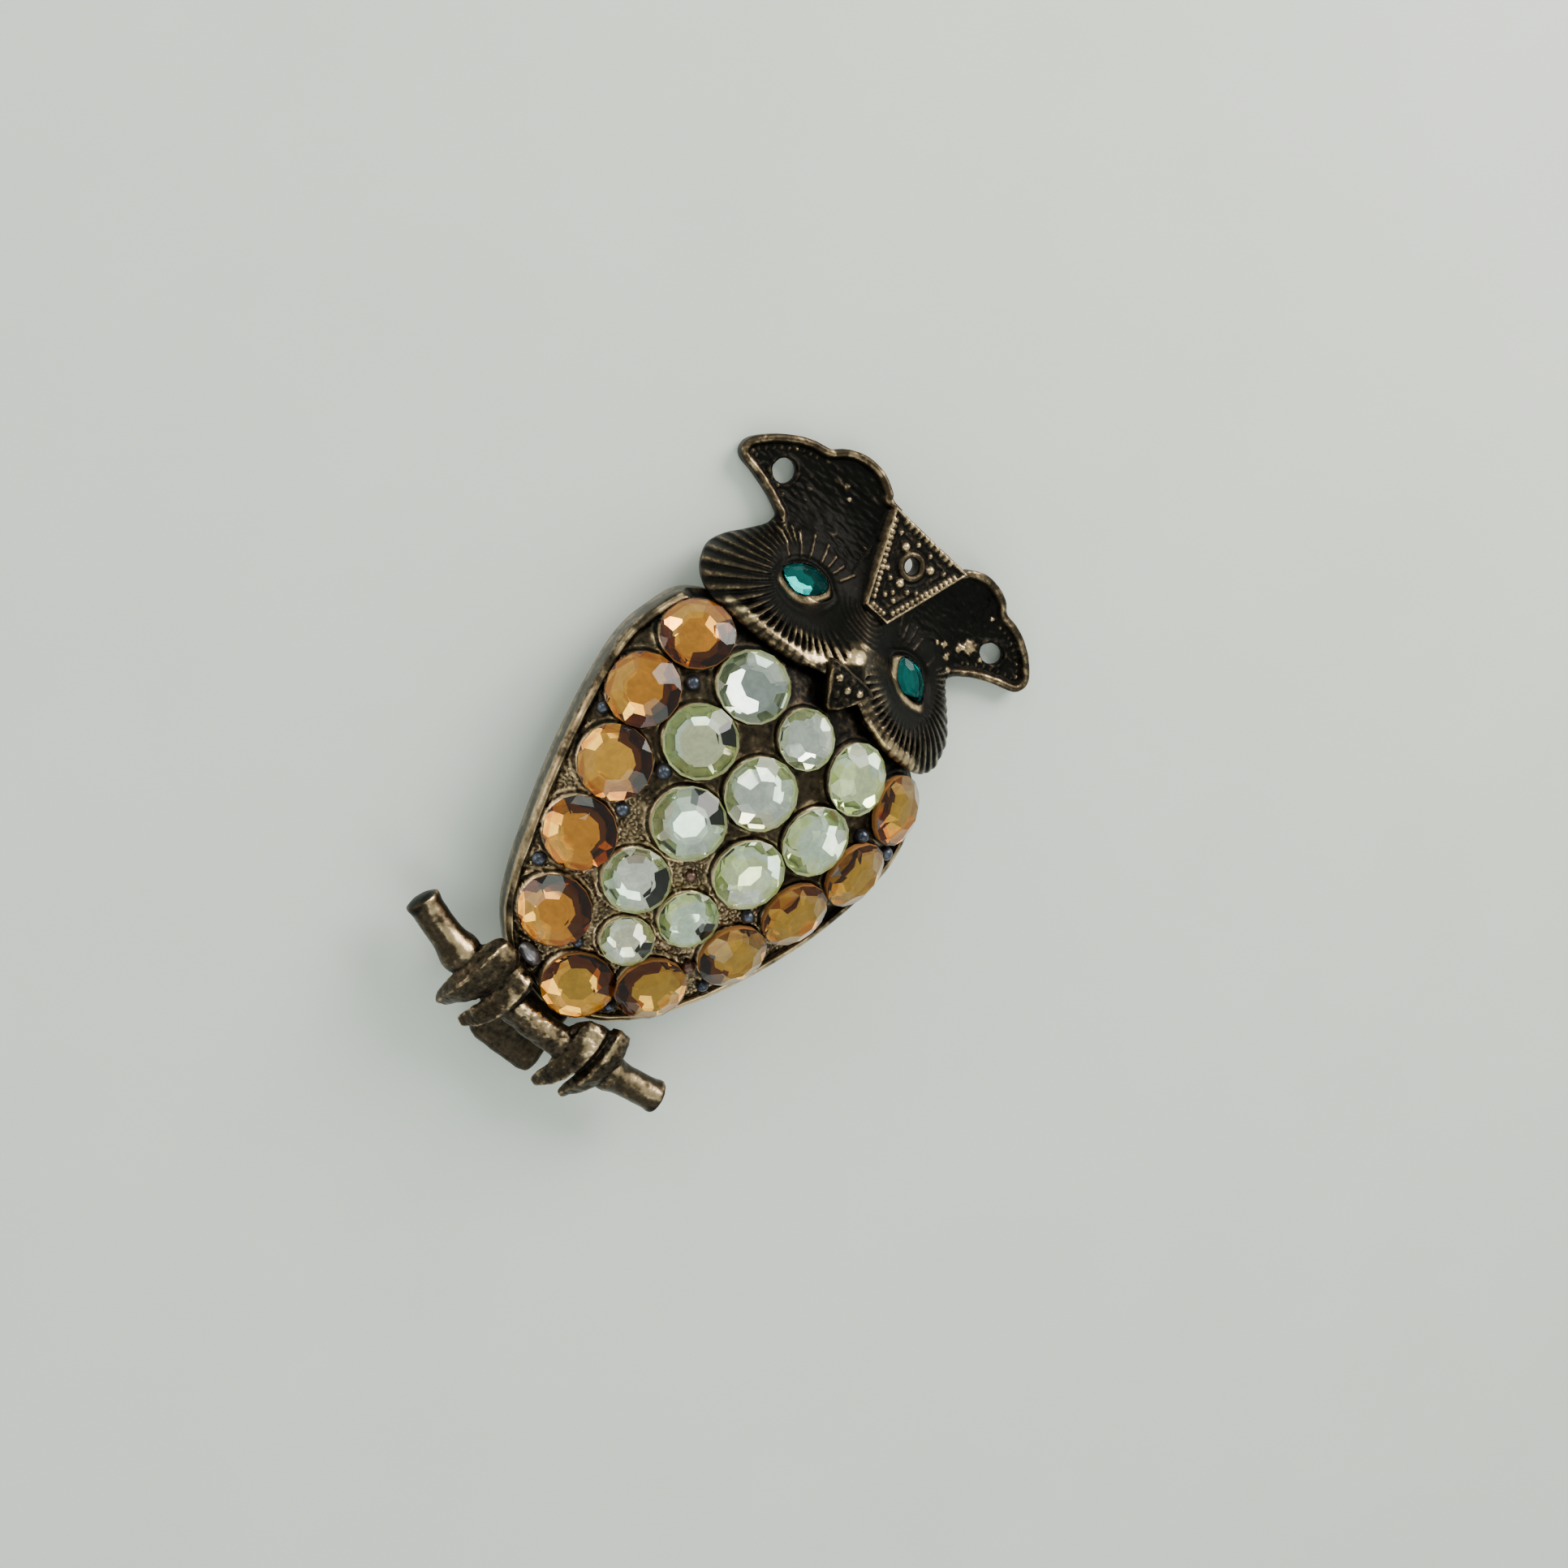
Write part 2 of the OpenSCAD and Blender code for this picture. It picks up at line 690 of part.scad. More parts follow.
module perch() color("#6a5138") {
    END = 0.96;
    FLARE = 1.1;
    stops = [-1, -END, FOOT_LEFT, 0, FOOT_RIGHT, END, 1];
    radii = branch_r * [FLARE, 1, 1, 1, 1, 1, FLARE];
    for (k = [0:len(stops) - 2])
        limb(branch_at(stops[k]), branch_at(stops[k + 1]), radii[k], radii[k + 1]);
    for (k = [2:len(stops) - 3])
        translate(branch_at(stops[k])) sphere(radii[k], $fn = LIMB_SMOOTH);
    for (s = [FOOT_LEFT, FOOT_RIGHT], toe = [-1, 1]) foot_toe(branch_at(s), toe);
}

// Each toe is a leaf that lies over the branch: share of its length down, share of its width,
// lean to the left as a share of its length, and drop as a share of its width
DOWN_TOE = 0;
WIDE_TOE = 1;
LEAN_TOE = 2;
DROP_TOE = 3;
TOE_FLAT = 0.75;
TOE_APART = 0.53;
TOE_ROWS = [
    [-0.32, 0.64, -0.02, 0.06],
    [-0.04, 1.00, 0.02, 0.02],
    [0.26, 0.94, 0.08, 0.22],
    [0.60, 0.26, 0.12, 0.84],
];
module foot_toe(at, toe) {
    lean = toe < 0 ? toe_l : toe_l / 3;
    function toe_at(row) =
        [at[0] + toe * toe_w * TOE_APART - row[LEAN_TOE] * lean, at[1] - row[DOWN_TOE] * toe_l,
         at[2] + branch_r * 0.9 - row[DROP_TOE] * toe_w];
    for (k = [0:len(TOE_ROWS) - 2])
        hull() for (row = [TOE_ROWS[k], TOE_ROWS[k + 1]])
            translate(toe_at(row)) scale([1, 1, TOE_FLAT])
                sphere(row[WIDE_TOE] * toe_w / 2, $fn = TOE_SMOOTH);
}

// The blunt tail under the branch, on which the jewel rests
module tail() color("#3a2c1f") {
    r = tail_t / 2;
    root_l = tail_t / 12;
    hull() {
        translate([tail_x - tail_root_w / 2, body_end - root_l, tail_root_z])
            cube([tail_root_w, root_l, tail_root_t]);
        for (side = [-1, 1])
            translate([tail_x + side * (tail_w / 2 - r), tail_end_y + r, r])
                sphere(r, $fn = LIMB_SMOOTH);
    }
}

// The pin in one plain piece: a base strip, a hinge block and a catch, and the closed stem
module pin_back() color("#8a8578") {
    translate([-pin_l / 2, pin_y - pin_w / 2, pin_z]) cube([pin_l, pin_w, pin_t]);
    for (side = [-1, 1])
        translate([side * (pin_l - block_l) / 2 - block_l / 2, pin_y - block_w / 2, 0])
            cube([block_l, block_w, pin_top_z]);
    translate([-(pin_l - block_l) / 2, pin_y, stem_z]) rotate([0, 90, 0])
        cylinder(h = pin_l - block_l, d = stem_d, $fn = PIN_SMOOTH);
}

module laid() translate([0, -middle_y, 0]) children();

laid() body_shell();
laid() head();
laid() perch();
laid() tail();
laid() pin_back();
laid() eye(-1);  // eye_left
laid() eye(1);  // eye_right
for (i = [1:AMBER_COUNT]) laid() amber(i);
for (i = [1:CLEAR_COUNT]) laid() clear(i);
for (i = [1:len(BALL_ROWS)]) laid() ball(i);
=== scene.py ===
# %% [markdown]
# # An owl brooch, dressed
# The jewel is a dark bronze owl on a branch. Its breast is set with foiled glass stones. The packed
# solids give every size and place, and this lesson adds the finishes and the fine relief, piece by
# piece. All the working numbers are millimetres: x from the jewel's middle line, y from the belly
# stone towards the ears, z from the table. They become metres only when a mesh is made.

# %% The frame
import bpy
import math
import numpy as np
from mathutils import Matrix, Vector, geometry, noise


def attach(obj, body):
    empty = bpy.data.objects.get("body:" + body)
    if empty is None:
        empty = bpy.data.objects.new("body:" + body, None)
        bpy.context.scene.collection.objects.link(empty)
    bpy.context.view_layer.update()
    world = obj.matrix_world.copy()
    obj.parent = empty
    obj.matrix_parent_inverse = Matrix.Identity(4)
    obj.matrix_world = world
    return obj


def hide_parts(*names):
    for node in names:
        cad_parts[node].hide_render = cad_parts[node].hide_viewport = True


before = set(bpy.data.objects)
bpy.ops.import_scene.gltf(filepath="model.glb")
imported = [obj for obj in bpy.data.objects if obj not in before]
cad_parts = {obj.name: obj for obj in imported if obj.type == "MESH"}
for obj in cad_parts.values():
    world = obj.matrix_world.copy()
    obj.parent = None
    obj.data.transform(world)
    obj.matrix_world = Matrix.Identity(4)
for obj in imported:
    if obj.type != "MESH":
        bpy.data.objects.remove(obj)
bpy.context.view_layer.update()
MM = 0.001
BENCH = np.array([0.0, 1.655, 0.0])       # from the belly stone to the middle of the whole jewel

# %% [markdown]
# ## The camera
# The photograph looks down on the jewel from its lower left. The jewel's own axes are turned into
# the view by three angles: how far the viewer leans to the left, how far towards the branch, and
# how the jewel is spun in the picture. A fitted view like this puts each stone where it belongs.

# %% The camera at the photograph's angle
LEAN, PITCH, SPIN = math.radians(22.0), math.radians(-2.595), math.radians(40.31)
TARGET, DISTANCE = np.array([0.716, 1.885, 13.5]), 150.0
FOCAL_PX, FRAME_PX, SENSOR = 2250.0, 1932.0, 36.0

toward = np.array([-math.sin(LEAN) * math.cos(PITCH), math.sin(PITCH), math.cos(LEAN) * math.cos(PITCH)])
side = np.array([math.cos(LEAN), 0.0, math.sin(LEAN)])
side = side - toward * (side @ toward)
side /= np.linalg.norm(side)
length = np.cross(toward, side)
view_right = math.cos(SPIN) * side + math.sin(SPIN) * length
view_down = math.sin(SPIN) * side - math.cos(SPIN) * length
view_up = -view_down


def placed(vector):
    """A point of the jewel in millimetres as a place in the scene."""
    return Vector((np.asarray(vector, float) + BENCH) * MM)


camera_data = bpy.data.cameras.new("camera")
camera_data.sensor_width = SENSOR
camera_data.lens = SENSOR * FOCAL_PX / FRAME_PX
camera_data.clip_start, camera_data.clip_end = 0.005, 10.0
camera = bpy.data.objects.new("camera", camera_data)
bpy.context.collection.objects.link(camera)
turn = Matrix((view_right, view_up, toward)).transposed()
camera.matrix_world = Matrix.Translation(placed(TARGET + DISTANCE * toward)) @ turn.to_4x4()
bpy.context.scene.camera = camera
print("camera at mm", [round(v * 1000, 1) for v in camera.location])

# %% [markdown]
# ## Lights
# A jewel shows what surrounds it, so each stone needs something bright and something dark to
# mirror. Large soft boxes give the flat bright patches, and the dim room between them gives the
# black ones. One big box at the upper right does most of the work, as in the photograph.

# %% Soft boxes around the jewel


def soft_box(name, way, distance, size, brightness, tint):
    """A square light that stands off the jewel along a direction given in the picture's own axes."""
    right, up, near = way
    direction = right * view_right + up * view_up + near * toward
    direction = direction / np.linalg.norm(direction)
    data = bpy.data.lights.new(name, "AREA")
    data.shape, data.size, data.size_y = "RECTANGLE", size[0] * MM, size[1] * MM
    data.energy, data.color = brightness * math.pi * data.size * data.size_y, tint
    lamp = bpy.data.objects.new(name, data)
    bpy.context.collection.objects.link(lamp)
    lamp.location = placed(TARGET + distance * direction)
    lamp.rotation_euler = Vector(direction).to_track_quat("Z", "Y").to_euler()


# Name, the way to it (right, up, near), how far off, size, brightness, tint
BOXES = [
    ("key_box", (0.86, 0.62, 0.50), 300, (190, 190), 9.6, (1.0, 0.97, 0.90)),
    ("mint_box", (-0.10, 0.66, 0.80), 300, (150, 100), 4.0, (0.84, 1.0, 0.90)),
    ("left_box", (-0.95, 0.25, 0.55), 320, (150, 190), 3.6, (1.0, 0.93, 0.82)),
    ("low_box", (-0.25, -0.90, 0.50), 320, (160, 90), 3.0, (0.90, 0.96, 1.0)),
    ("table_card", (0.21, -0.50, 0.84), 320, (110, 110), 2.6, (0.86, 1.0, 0.92)),
    ("side_card", (0.50, -0.71, 0.48), 320, (120, 120), 2.8, (0.92, 1.0, 0.90)),
]
ROOM_TINT, ROOM_LIGHT = (0.90, 1.0, 0.90, 1.0), 0.68
for box in BOXES:
    soft_box(*box)

world = bpy.data.worlds.new("room")
bpy.context.scene.world = world
world.use_nodes = True
background = world.node_tree.nodes["Background"]
background.inputs[0].default_value = ROOM_TINT
background.inputs[1].default_value = ROOM_LIGHT
print("soft boxes:", len(BOXES), "room light:", ROOM_LIGHT)

# %% [markdown]
# ## Making meshes
# Every piece here starts as a list of corners and a list of faces, worked out with arrays. One
# helper turns them into an object, says which body it moves with, and which solid it stands for.

# %% One helper for every piece


def piece(name, corners, faces, materials, stands_for, smooth=True, face_material=None):
    """Corners in millimetres become a named object of the jewel."""
    mesh = bpy.data.meshes.new(name)
    places = (np.asarray(corners, float) + BENCH) * MM
    mesh.from_pydata(places.tolist(), [], [list(map(int, f)) for f in faces])
    mesh.validate()
    obj = bpy.data.objects.new(name, mesh)
    bpy.context.collection.objects.link(obj)
    for material in materials:
        mesh.materials.append(material)
    mesh.polygons.foreach_set("use_smooth", [smooth] * len(mesh.polygons))
    if face_material is not None:
        mesh.polygons.foreach_set("material_index", face_material)
    mesh.update()
    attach(obj, "root")
    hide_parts(*stands_for)
    return obj


def paint(obj, layer, values):
    """Keeps one number per corner, from 0 to 1, for a material to read."""
    attribute = obj.data.attributes.new(layer, "FLOAT", "POINT")
    attribute.data.foreach_set("value", np.clip(np.asarray(values, float), 0, 1))


print("one millimetre in the scene:", MM)

# %% [markdown]
# ## Antique bronze
# Antiqued castings are dipped in a dark bath and then rubbed, so the hollows stay brown-black and
# the high places shine pale gold. The wear is worked out with the shape and kept on each corner,
# together with a few painted highlights and painted shadows, and the material mixes dark patina and
# bare metal by it, broken up by fine noise.

# %% Short hand for materials
BUMP_REACH = 0.05 * MM


class Nodes:
    """Short hand for building a node tree."""

    def __init__(self, name):
        self.material = bpy.data.materials.new(name)
        self.material.use_nodes = True
        self.tree = self.material.node_tree
        self.shader = self.tree.nodes["Principled BSDF"]

    def add(self, kind, **settings):
        node = self.tree.nodes.new(kind)
        for key, value in settings.items():
            setattr(node, key, value)
        return node

    def noise(self, scale):
        """Fine noise that stays where it is on the jewel."""
        where = self.add("ShaderNodeNewGeometry")
        node = self.add("ShaderNodeTexNoise")
        self.tree.links.new(where.outputs["Position"], node.inputs["Vector"])
        for socket, value in (("Scale", scale), ("Detail", 3.0), ("Roughness", 0.55)):
            node.inputs[socket].default_value = value
        return node.outputs["Fac"]

    def math(self, operation, a, b):
        node = self.add("ShaderNodeMath", operation=operation)
        for socket, value in zip(node.inputs, (a, b)):
            if isinstance(value, (int, float)):
                socket.default_value = value
            else:
                self.tree.links.new(value, socket)
        return node.outputs[0]

    def coat(self, socket, value, stops):
        """One socket of the shader follows a value along a ramp of colours."""
        node = self.add("ShaderNodeValToRGB")
        self.tree.links.new(value, node.inputs[0])
        ramp = node.color_ramp
        while len(ramp.elements) < len(stops):
            ramp.elements.new(0.5)
        for element, (place, colour) in zip(ramp.elements, stops):
            element.position = place
            element.color = (*colour, 1.0)
        self.tree.links.new(node.outputs[0], self.shader.inputs[socket])

    def even(self, socket, value):
        self.shader.inputs[socket].default_value = value

    def bump(self, height, strength):
        node = self.add("ShaderNodeBump")
        node.inputs["Strength"].default_value = strength
        node.inputs["Distance"].default_value = BUMP_REACH
        self.tree.links.new(height, node.inputs["Height"])
        self.tree.links.new(node.outputs[0], self.shader.inputs["Normal"])


print("grain stands up by mm:", BUMP_REACH / MM)

# %% The bronze material


def bronze(name, dark, middle, bright):
    make = Nodes(name)
    fine, broad = make.noise(2600.0), make.noise(900.0)
    mixed = make.math("ADD", make.math("MULTIPLY", fine, 0.6), make.math("MULTIPLY", broad, 0.4))
    wear_and_painted_light = make.add("ShaderNodeAttribute", attribute_name="wear_and_painted_light").outputs["Fac"]
    level = make.math("ADD", wear_and_painted_light, make.math("MULTIPLY", make.math("SUBTRACT", mixed, 0.5), 0.8))
    make.coat("Base Color", level, [(0.10, dark), (0.46, middle), (0.98, bright)])
    make.coat("Roughness", level, [(0.0, (0.50,) * 3), (0.5, (0.34,) * 3), (1.0, (0.22,) * 3)])
    make.even("Metallic", 0.92)
    make.bump(fine, 0.35)
    return make.material


DARK, MIDDLE, BRIGHT = (0.0055, 0.0050, 0.0042), (0.060, 0.042, 0.025), (0.66, 0.47, 0.27)
cast_bronze = bronze("cast_bronze", DARK, MIDDLE, BRIGHT)
pin_brass = bronze("pin_brass", (0.03, 0.024, 0.016), (0.16, 0.125, 0.075), (0.52, 0.43, 0.28))
print("bronze:", cast_bronze.name, "and", pin_brass.name)

# %% [markdown]
# ## Foiled glass
# A rhinestone is clear glass over a mirror. The crown lets light in, and the foil behind it
# throws it back, so each facet shows one flat patch of the room. The stone here is one closed
# mesh: clear or tinted glass above the girdle, a satin coat on the low side wall, and thin metal
# foil behind, in wedges of several tints that stand for the patches a real back throws up. Most of
# these tints are painted reflections, bright and dark, and not the foil's own colour.

# %% Glass, coat and foil


def crown_glass(name, tint, bend):
    make = Nodes(name)
    make.coat("Base Color", make.noise(900.0), [(0.3, tuple(0.93 * c for c in tint)), (0.7, tint)])
    make.even("Transmission Weight", 1.0)
    make.even("Roughness", 0.0)
    make.even("IOR", bend)
    return make.material


def foil(name, tint, roughness=0.02, metallic=1.0):
    make = Nodes(name)
    make.coat("Base Color", make.noise(1500.0), [(0.35, tuple(0.8 * c for c in tint)), (0.65, tint)])
    make.even("Metallic", metallic)
    make.even("Roughness", roughness)
    return make.material


# Tints of the crown, its edge facets and the side wall, and how much the glass bends light. The clear
# stone's yellow-green edge facets and side wall are painted glints.
GLASS = {"clear": ((0.98, 1.0, 0.92), (0.84, 0.88, 0.50), (0.80, 0.84, 0.50), 1.56),
         "amber": ((1.0, 0.66, 0.20), (0.70, 0.32, 0.07), (0.40, 0.17, 0.05), 1.44),
         "teal": ((0.004, 0.34, 0.33), (0.002, 0.18, 0.19), (0.05, 0.40, 0.40), 1.25)}
SATIN, SATIN_METAL = 0.45, 0.2
glasses = {kind: [crown_glass(f"{kind}_crown", crown, bend), crown_glass(f"{kind}_edge", edge, bend),
                  foil(f"{kind}_side", wall, SATIN, SATIN_METAL)]
           for kind, (crown, edge, wall, bend) in GLASS.items()}
# Foil tints: the foil's own metal, and painted reflections of light and dark, such as black, white and mint
FOILS_AND_PAINTED_REFLECTIONS = {"grey": (0.80, 0.84, 0.82), "beige": (0.90, 0.84, 0.70), "olive": (0.88, 0.86, 0.60),
         "white": (0.99, 1.0, 0.97), "mint": (0.88, 1.0, 0.88), "lime": (0.92, 1.0, 0.62),
         "black": (0.015, 0.015, 0.013), "gold": (1.0, 0.72, 0.30), "amber": (0.82, 0.47, 0.14),
         "ochre": (0.60, 0.48, 0.18), "brown": (0.12, 0.040, 0.008), "rose": (0.60, 0.50, 0.45),
         "slate": (0.46, 0.51, 0.53), "teal": (0.09, 0.60, 0.58), "deep": (0.02, 0.22, 0.22)}
foils_and_painted_reflections = {name: foil(f"foil_and_reflection_{name}", tint) for name, tint in FOILS_AND_PAINTED_REFLECTIONS.items()}
print("glasses:", len(glasses), "foils:", len(foils_and_painted_reflections))

# %% [markdown]
# ## The round stones
# Each packed stone says where its girdle lies and which way its table faces. The new stone is cut
# there with an octagonal table, eight mains, and small facets round the edge. Cutting it by
# formula keeps every facet flat, which is what makes the patches of light crisp.

# %% Reading a stone's seat
GIRDLE_BAND = 0.97        # corners beyond this share of the radius are the girdle's


def corners_of(node):
    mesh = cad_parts[node].data
    found = np.empty(len(mesh.vertices) * 3)
    mesh.vertices.foreach_get("co", found)
    return np.unique(np.round(found.reshape(-1, 3) / MM - BENCH, 4), axis=0)


def seat_of(node):
    """Middle of the girdle, the way the table faces, and the radius, in millimetres."""
    points = corners_of(node)
    middle = points.mean(axis=0)
    _, _, axes = np.linalg.svd(points - middle)
    up = axes[2] * np.sign(axes[2][2])
    heights = (points - middle) @ up
    flat = points - middle - np.outer(heights, up)
    radii = np.linalg.norm(flat, axis=1)
    edge = radii > radii.max() * GIRDLE_BAND
    return points[edge].mean(axis=0), up, radii.max()


def turned_frame(up, angle):
    """Two directions across a stone, turned by an angle, and its axis."""
    across = np.cross([0, 1, 0], up)
    across /= np.linalg.norm(across)
    along = np.cross(up, across)
    c, s = math.cos(angle), math.sin(angle)
    return c * across + s * along, c * along - s * across, up


print("first clear stone, radius in mm:", round(seat_of("clear_01")[2], 2))

# %% Faces of a cut stone
# Shares of the radius; only the break's height is a share of the crown's, and the depth is millimetres
TABLE, BREAK, GIRDLE, CULET, CROWN_H, BREAK_H, DEPTH = 0.47, 0.82, 0.04, 0.46, 0.38, 0.46, 0.55
CLEAR_BACK, AMBER_BACK = 0.88, 0.96
CROWN_PART, EDGE_PART, SIDE_PART, BACK_PART = 0, 1, 2, 3


def cut_faces():
    """Faces of a cut stone, and which part each belongs to. Its rings of corners start at 0 for the
    table, 8 for the break, 16 and 32 for the girdle, 48 for the rim of the back, 64 for its octagon."""
    faces, part = [list(range(8))], [CROWN_PART]
    for k in range(8):
        m = (k + 1) % 8
        faces += [[m, k, 8 + k, 8 + m], [8 + m, 8 + k, 16 + 2 * k + 1], [8 + k, 16 + 2 * k, 16 + 2 * k + 1],
                  [8 + k, 16 + (2 * k + 15) % 16, 16 + 2 * k]]
        part += [CROWN_PART, EDGE_PART, CROWN_PART, EDGE_PART]
    for low in (16, 32):
        for k in range(16):
            m = (k + 1) % 16
            faces.append([low + m, low + k, low + 16 + k, low + 16 + m])
            part.append(SIDE_PART)
    faces.append([64 + k for k in range(7, -1, -1)])
    for k in range(8):
        faces.append([64 + k, 64 + (k + 1) % 8, 48 + (2 * k + 2) % 16, 48 + 2 * k + 1, 48 + 2 * k])
    return faces, part + [BACK_PART] * 9


print("faces of a stone:", len(cut_faces()[0]))

# %% Cutting a stone


def foiled(name, points, kind, look, node):
    """One stone. Its look names the foil under the table, and the foil tints under sectors of the picture
    from one angle to another, anticlockwise from the right. These tints are painted reflections,
    set in the picture's own directions."""
    faces, part = cut_faces()
    under, sectors = look
    names = [under] + sorted({key for _, _, key in sectors} - {under})
    middle = points[:8].mean(axis=0)
    which = []
    for face, place in zip(faces, part):
        if place != BACK_PART:
            which.append(place)
            continue
        way = points[face].mean(axis=0) - middle
        angle = math.degrees(math.atan2(way @ view_up, way @ view_right))
        found = [key for low, high, key in sectors if (angle - low) % 360 < high - low]
        which.append(BACK_PART + names.index(found[0] if found and len(face) != 8 else under))
    materials = [*glasses[kind], *(foils_and_painted_reflections[key] for key in names)]
    piece(name, points, faces, materials, [node], smooth=False, face_material=which)


def cut_round(kind, number, angle, look, back):
    node = f"{kind}_{number:02d}"
    middle, up, radius = seat_of(node)
    x, y, z = turned_frame(up, math.radians(angle))

    def ring(count, share, height, half=0.0):
        a = 2 * math.pi * (np.arange(count) + half) / count
        return middle + radius * share * (np.outer(np.cos(a), x) + np.outer(np.sin(a), y)) + height * z

    top = radius * CROWN_H
    edge = radius * GIRDLE
    points = np.vstack([ring(8, TABLE, top), ring(8, BREAK, top * BREAK_H), ring(16, 1, edge, 0.5),
                        ring(16, 1, -edge, 0.5), ring(16, back, -DEPTH, 0.5), ring(8, CULET, -DEPTH, 0.25)])
    foiled(f"{kind}_stone_{number:02d}", points, kind, look, node)


print("girdle's height, share of the radius:", 2 * GIRDLE)

# %% Twenty-two round stones
# Turn about the axis, then the painted reflections: foil under the table, foils under sectors of the picture
CLEAR_REFLECTIONS = [
    (40, "slate", [(20, 120, "grey"), (200, 300, "slate")]),
    (20, "olive", [(10, 62, "black"), (62, 200, "mint")]),
    (5, "grey", [(90, 270, "grey"), (0, 90, "white")]),
    (30, "lime", [(0, 140, "mint"), (180, 300, "lime")]),
    (12, "grey", [(-40, 120, "mint"), (180, 290, "beige")]),
    (25, "mint", [(15, 75, "black"), (140, 215, "beige"), (230, 300, "grey")]),
    (0, "mint", [(-80, 60, "white"), (110, 250, "lime")]),
    (18, "lime", [(0, 130, "mint"), (200, 320, "white")]),
    (8, "white", [(-50, 50, "black"), (60, 120, "rose"), (130, 250, "mint")]),
    (15, "mint", [(90, 180, "lime"), (-30, 20, "black"), (200, 330, "mint")]),
    (22, "beige", [(-70, 25, "black"), (90, 260, "white")]),
]
AMBER_REFLECTIONS = [
    (14, "amber", [(-90, 0, "brown"), (60, 200, "gold")]),
    (3, "amber", [(-60, 20, "brown"), (120, 240, "gold")]),
    (20, "gold", [(-70, 80, "brown"), (200, 290, "amber")]),
    (9, "amber", [(-50, 100, "brown"), (150, 260, "gold")]),
    (16, "amber", [(-70, 130, "brown"), (130, 250, "gold")]),
    (5, "ochre", [(-20, 100, "brown"), (100, 340, "gold")]),
    (12, "ochre", [(90, 200, "brown"), (-90, 30, "gold")]),
    (25, "ochre", [(50, 130, "rose"), (150, 230, "brown")]),
    (7, "ochre", [(50, 120, "rose"), (-80, -10, "amber")]),
    (18, "ochre", [(60, 140, "rose"), (-90, 0, "amber")]),
    (2, "ochre", [(40, 130, "rose"), (150, 260, "amber")]),
]
for kind, looks, back in (("clear", CLEAR_REFLECTIONS, CLEAR_BACK), ("amber", AMBER_REFLECTIONS, AMBER_BACK)):
    for number, (angle, *look) in enumerate(looks, 1):
        cut_round(kind, number, angle, look, back)
print("round stones:", len(CLEAR_REFLECTIONS) + len(AMBER_REFLECTIONS))

# %% [markdown]
# ## The floor
# The jewel lies on a plain pale card, as it would to be photographed for a shop. The card is so
# large that its edges never show, and only takes the soft shadow of the jewel.

# %% A pale card
REACH = 1.2
floor_mesh = bpy.data.meshes.new("floor")
floor_mesh.from_pydata([(-REACH, -REACH, 0), (REACH, -REACH, 0), (REACH, REACH, 0), (-REACH, REACH, 0)],
                       [], [(0, 1, 2, 3)])
floor = bpy.data.objects.new("floor", floor_mesh)
bpy.context.collection.objects.link(floor)
paper = Nodes("pale_floor")
paper.coat("Base Color", paper.noise(60.0), [(0.3, (0.70, 0.73, 0.69)), (0.7, (0.73, 0.76, 0.72))])
paper.even("Roughness", 0.9)
floor_mesh.materials.append(paper.material)
print("floor, metres wide:", 2 * REACH)

# %% [markdown]
# ## Tools for cast sheets
# Both castings, the body and the head, are thin sheets with relief on top. Such a sheet can be made
# as a height field: points scattered over its outline, joined by triangles, and lifted by a
# formula. The points lie denser where the relief is fine, and walls close every open edge.

# %% Curves


def smoothstep(low, high, x):
    t = np.clip((np.asarray(x, float) - low) / (high - low), 0, 1)
    return t * t * (3 - 2 * t)


def hump(x, at, wide):
    """1 at one place, fading out on both sides of it."""
    return np.exp(-((x - at) / wide) ** 2)


def round_angles(count):
    """Evenly spaced angles round a circle."""
    return np.linspace(0, 2 * math.pi, count, endpoint=False)


def curve(a, b, c, d, t):
    """A smooth curve from b to c, with slopes that suit their neighbours a and d."""
    return b + t / 2 * ((c - a) + t * ((2 * a - 5 * b + 4 * c - d) + t * (3 * (b - c) + d - a)))


def smooth_rows(rows, steps, closed=False):
    """A smooth curve through the rows of a table, with several steps between two rows."""
    rows = np.asarray(rows, float)
    n = len(rows)
    t = np.linspace(0, 1, steps, endpoint=False)[:, None]

    def at(i):
        return rows[i % n] if closed else rows[min(max(i, 0), n - 1)]

    parts = [curve(at(i - 1), at(i), at(i + 1), at(i + 2), t) for i in range(n if closed else n - 1)]
    if not closed:
        parts.append(rows[-1:])
    return np.vstack(parts)


print("a smooth step half way up:", float(smoothstep(0, 1, 0.5)))

# %% Loops


def spaced(loop, gap):
    """The same closed loop with evenly spaced points."""
    ring = np.vstack([loop, loop[:1]])
    run = np.concatenate([[0], np.cumsum(np.linalg.norm(np.diff(ring, axis=0), axis=1))])
    count = max(12, int(round(run[-1] / gap)))
    t = np.linspace(0, run[-1], count, endpoint=False)
    return np.stack([np.interp(t, run, ring[:, k]) for k in range(ring.shape[1])], axis=1)


def inward(loop, d):
    """A loop whose points are moved by d to their left, which is inward when it runs anticlockwise."""
    along = np.roll(loop, -1, axis=0) - np.roll(loop, 1, axis=0)
    along /= np.linalg.norm(along, axis=1)[:, None]
    return loop + d * np.stack([-along[:, 1], along[:, 0]], axis=1)


def edge_distance(points, loop):
    """How far each point lies from the nearest side of a closed loop."""
    a, b = loop, np.roll(loop, -1, axis=0)
    best = np.full(len(points), 1e9)
    for p, q in zip(a, b):
        way = q - p
        t = np.clip(((points - p) @ way) / max(way @ way, 1e-12), 0, 1)
        best = np.minimum(best, np.linalg.norm(points - p - t[:, None] * way, axis=1))
    return best


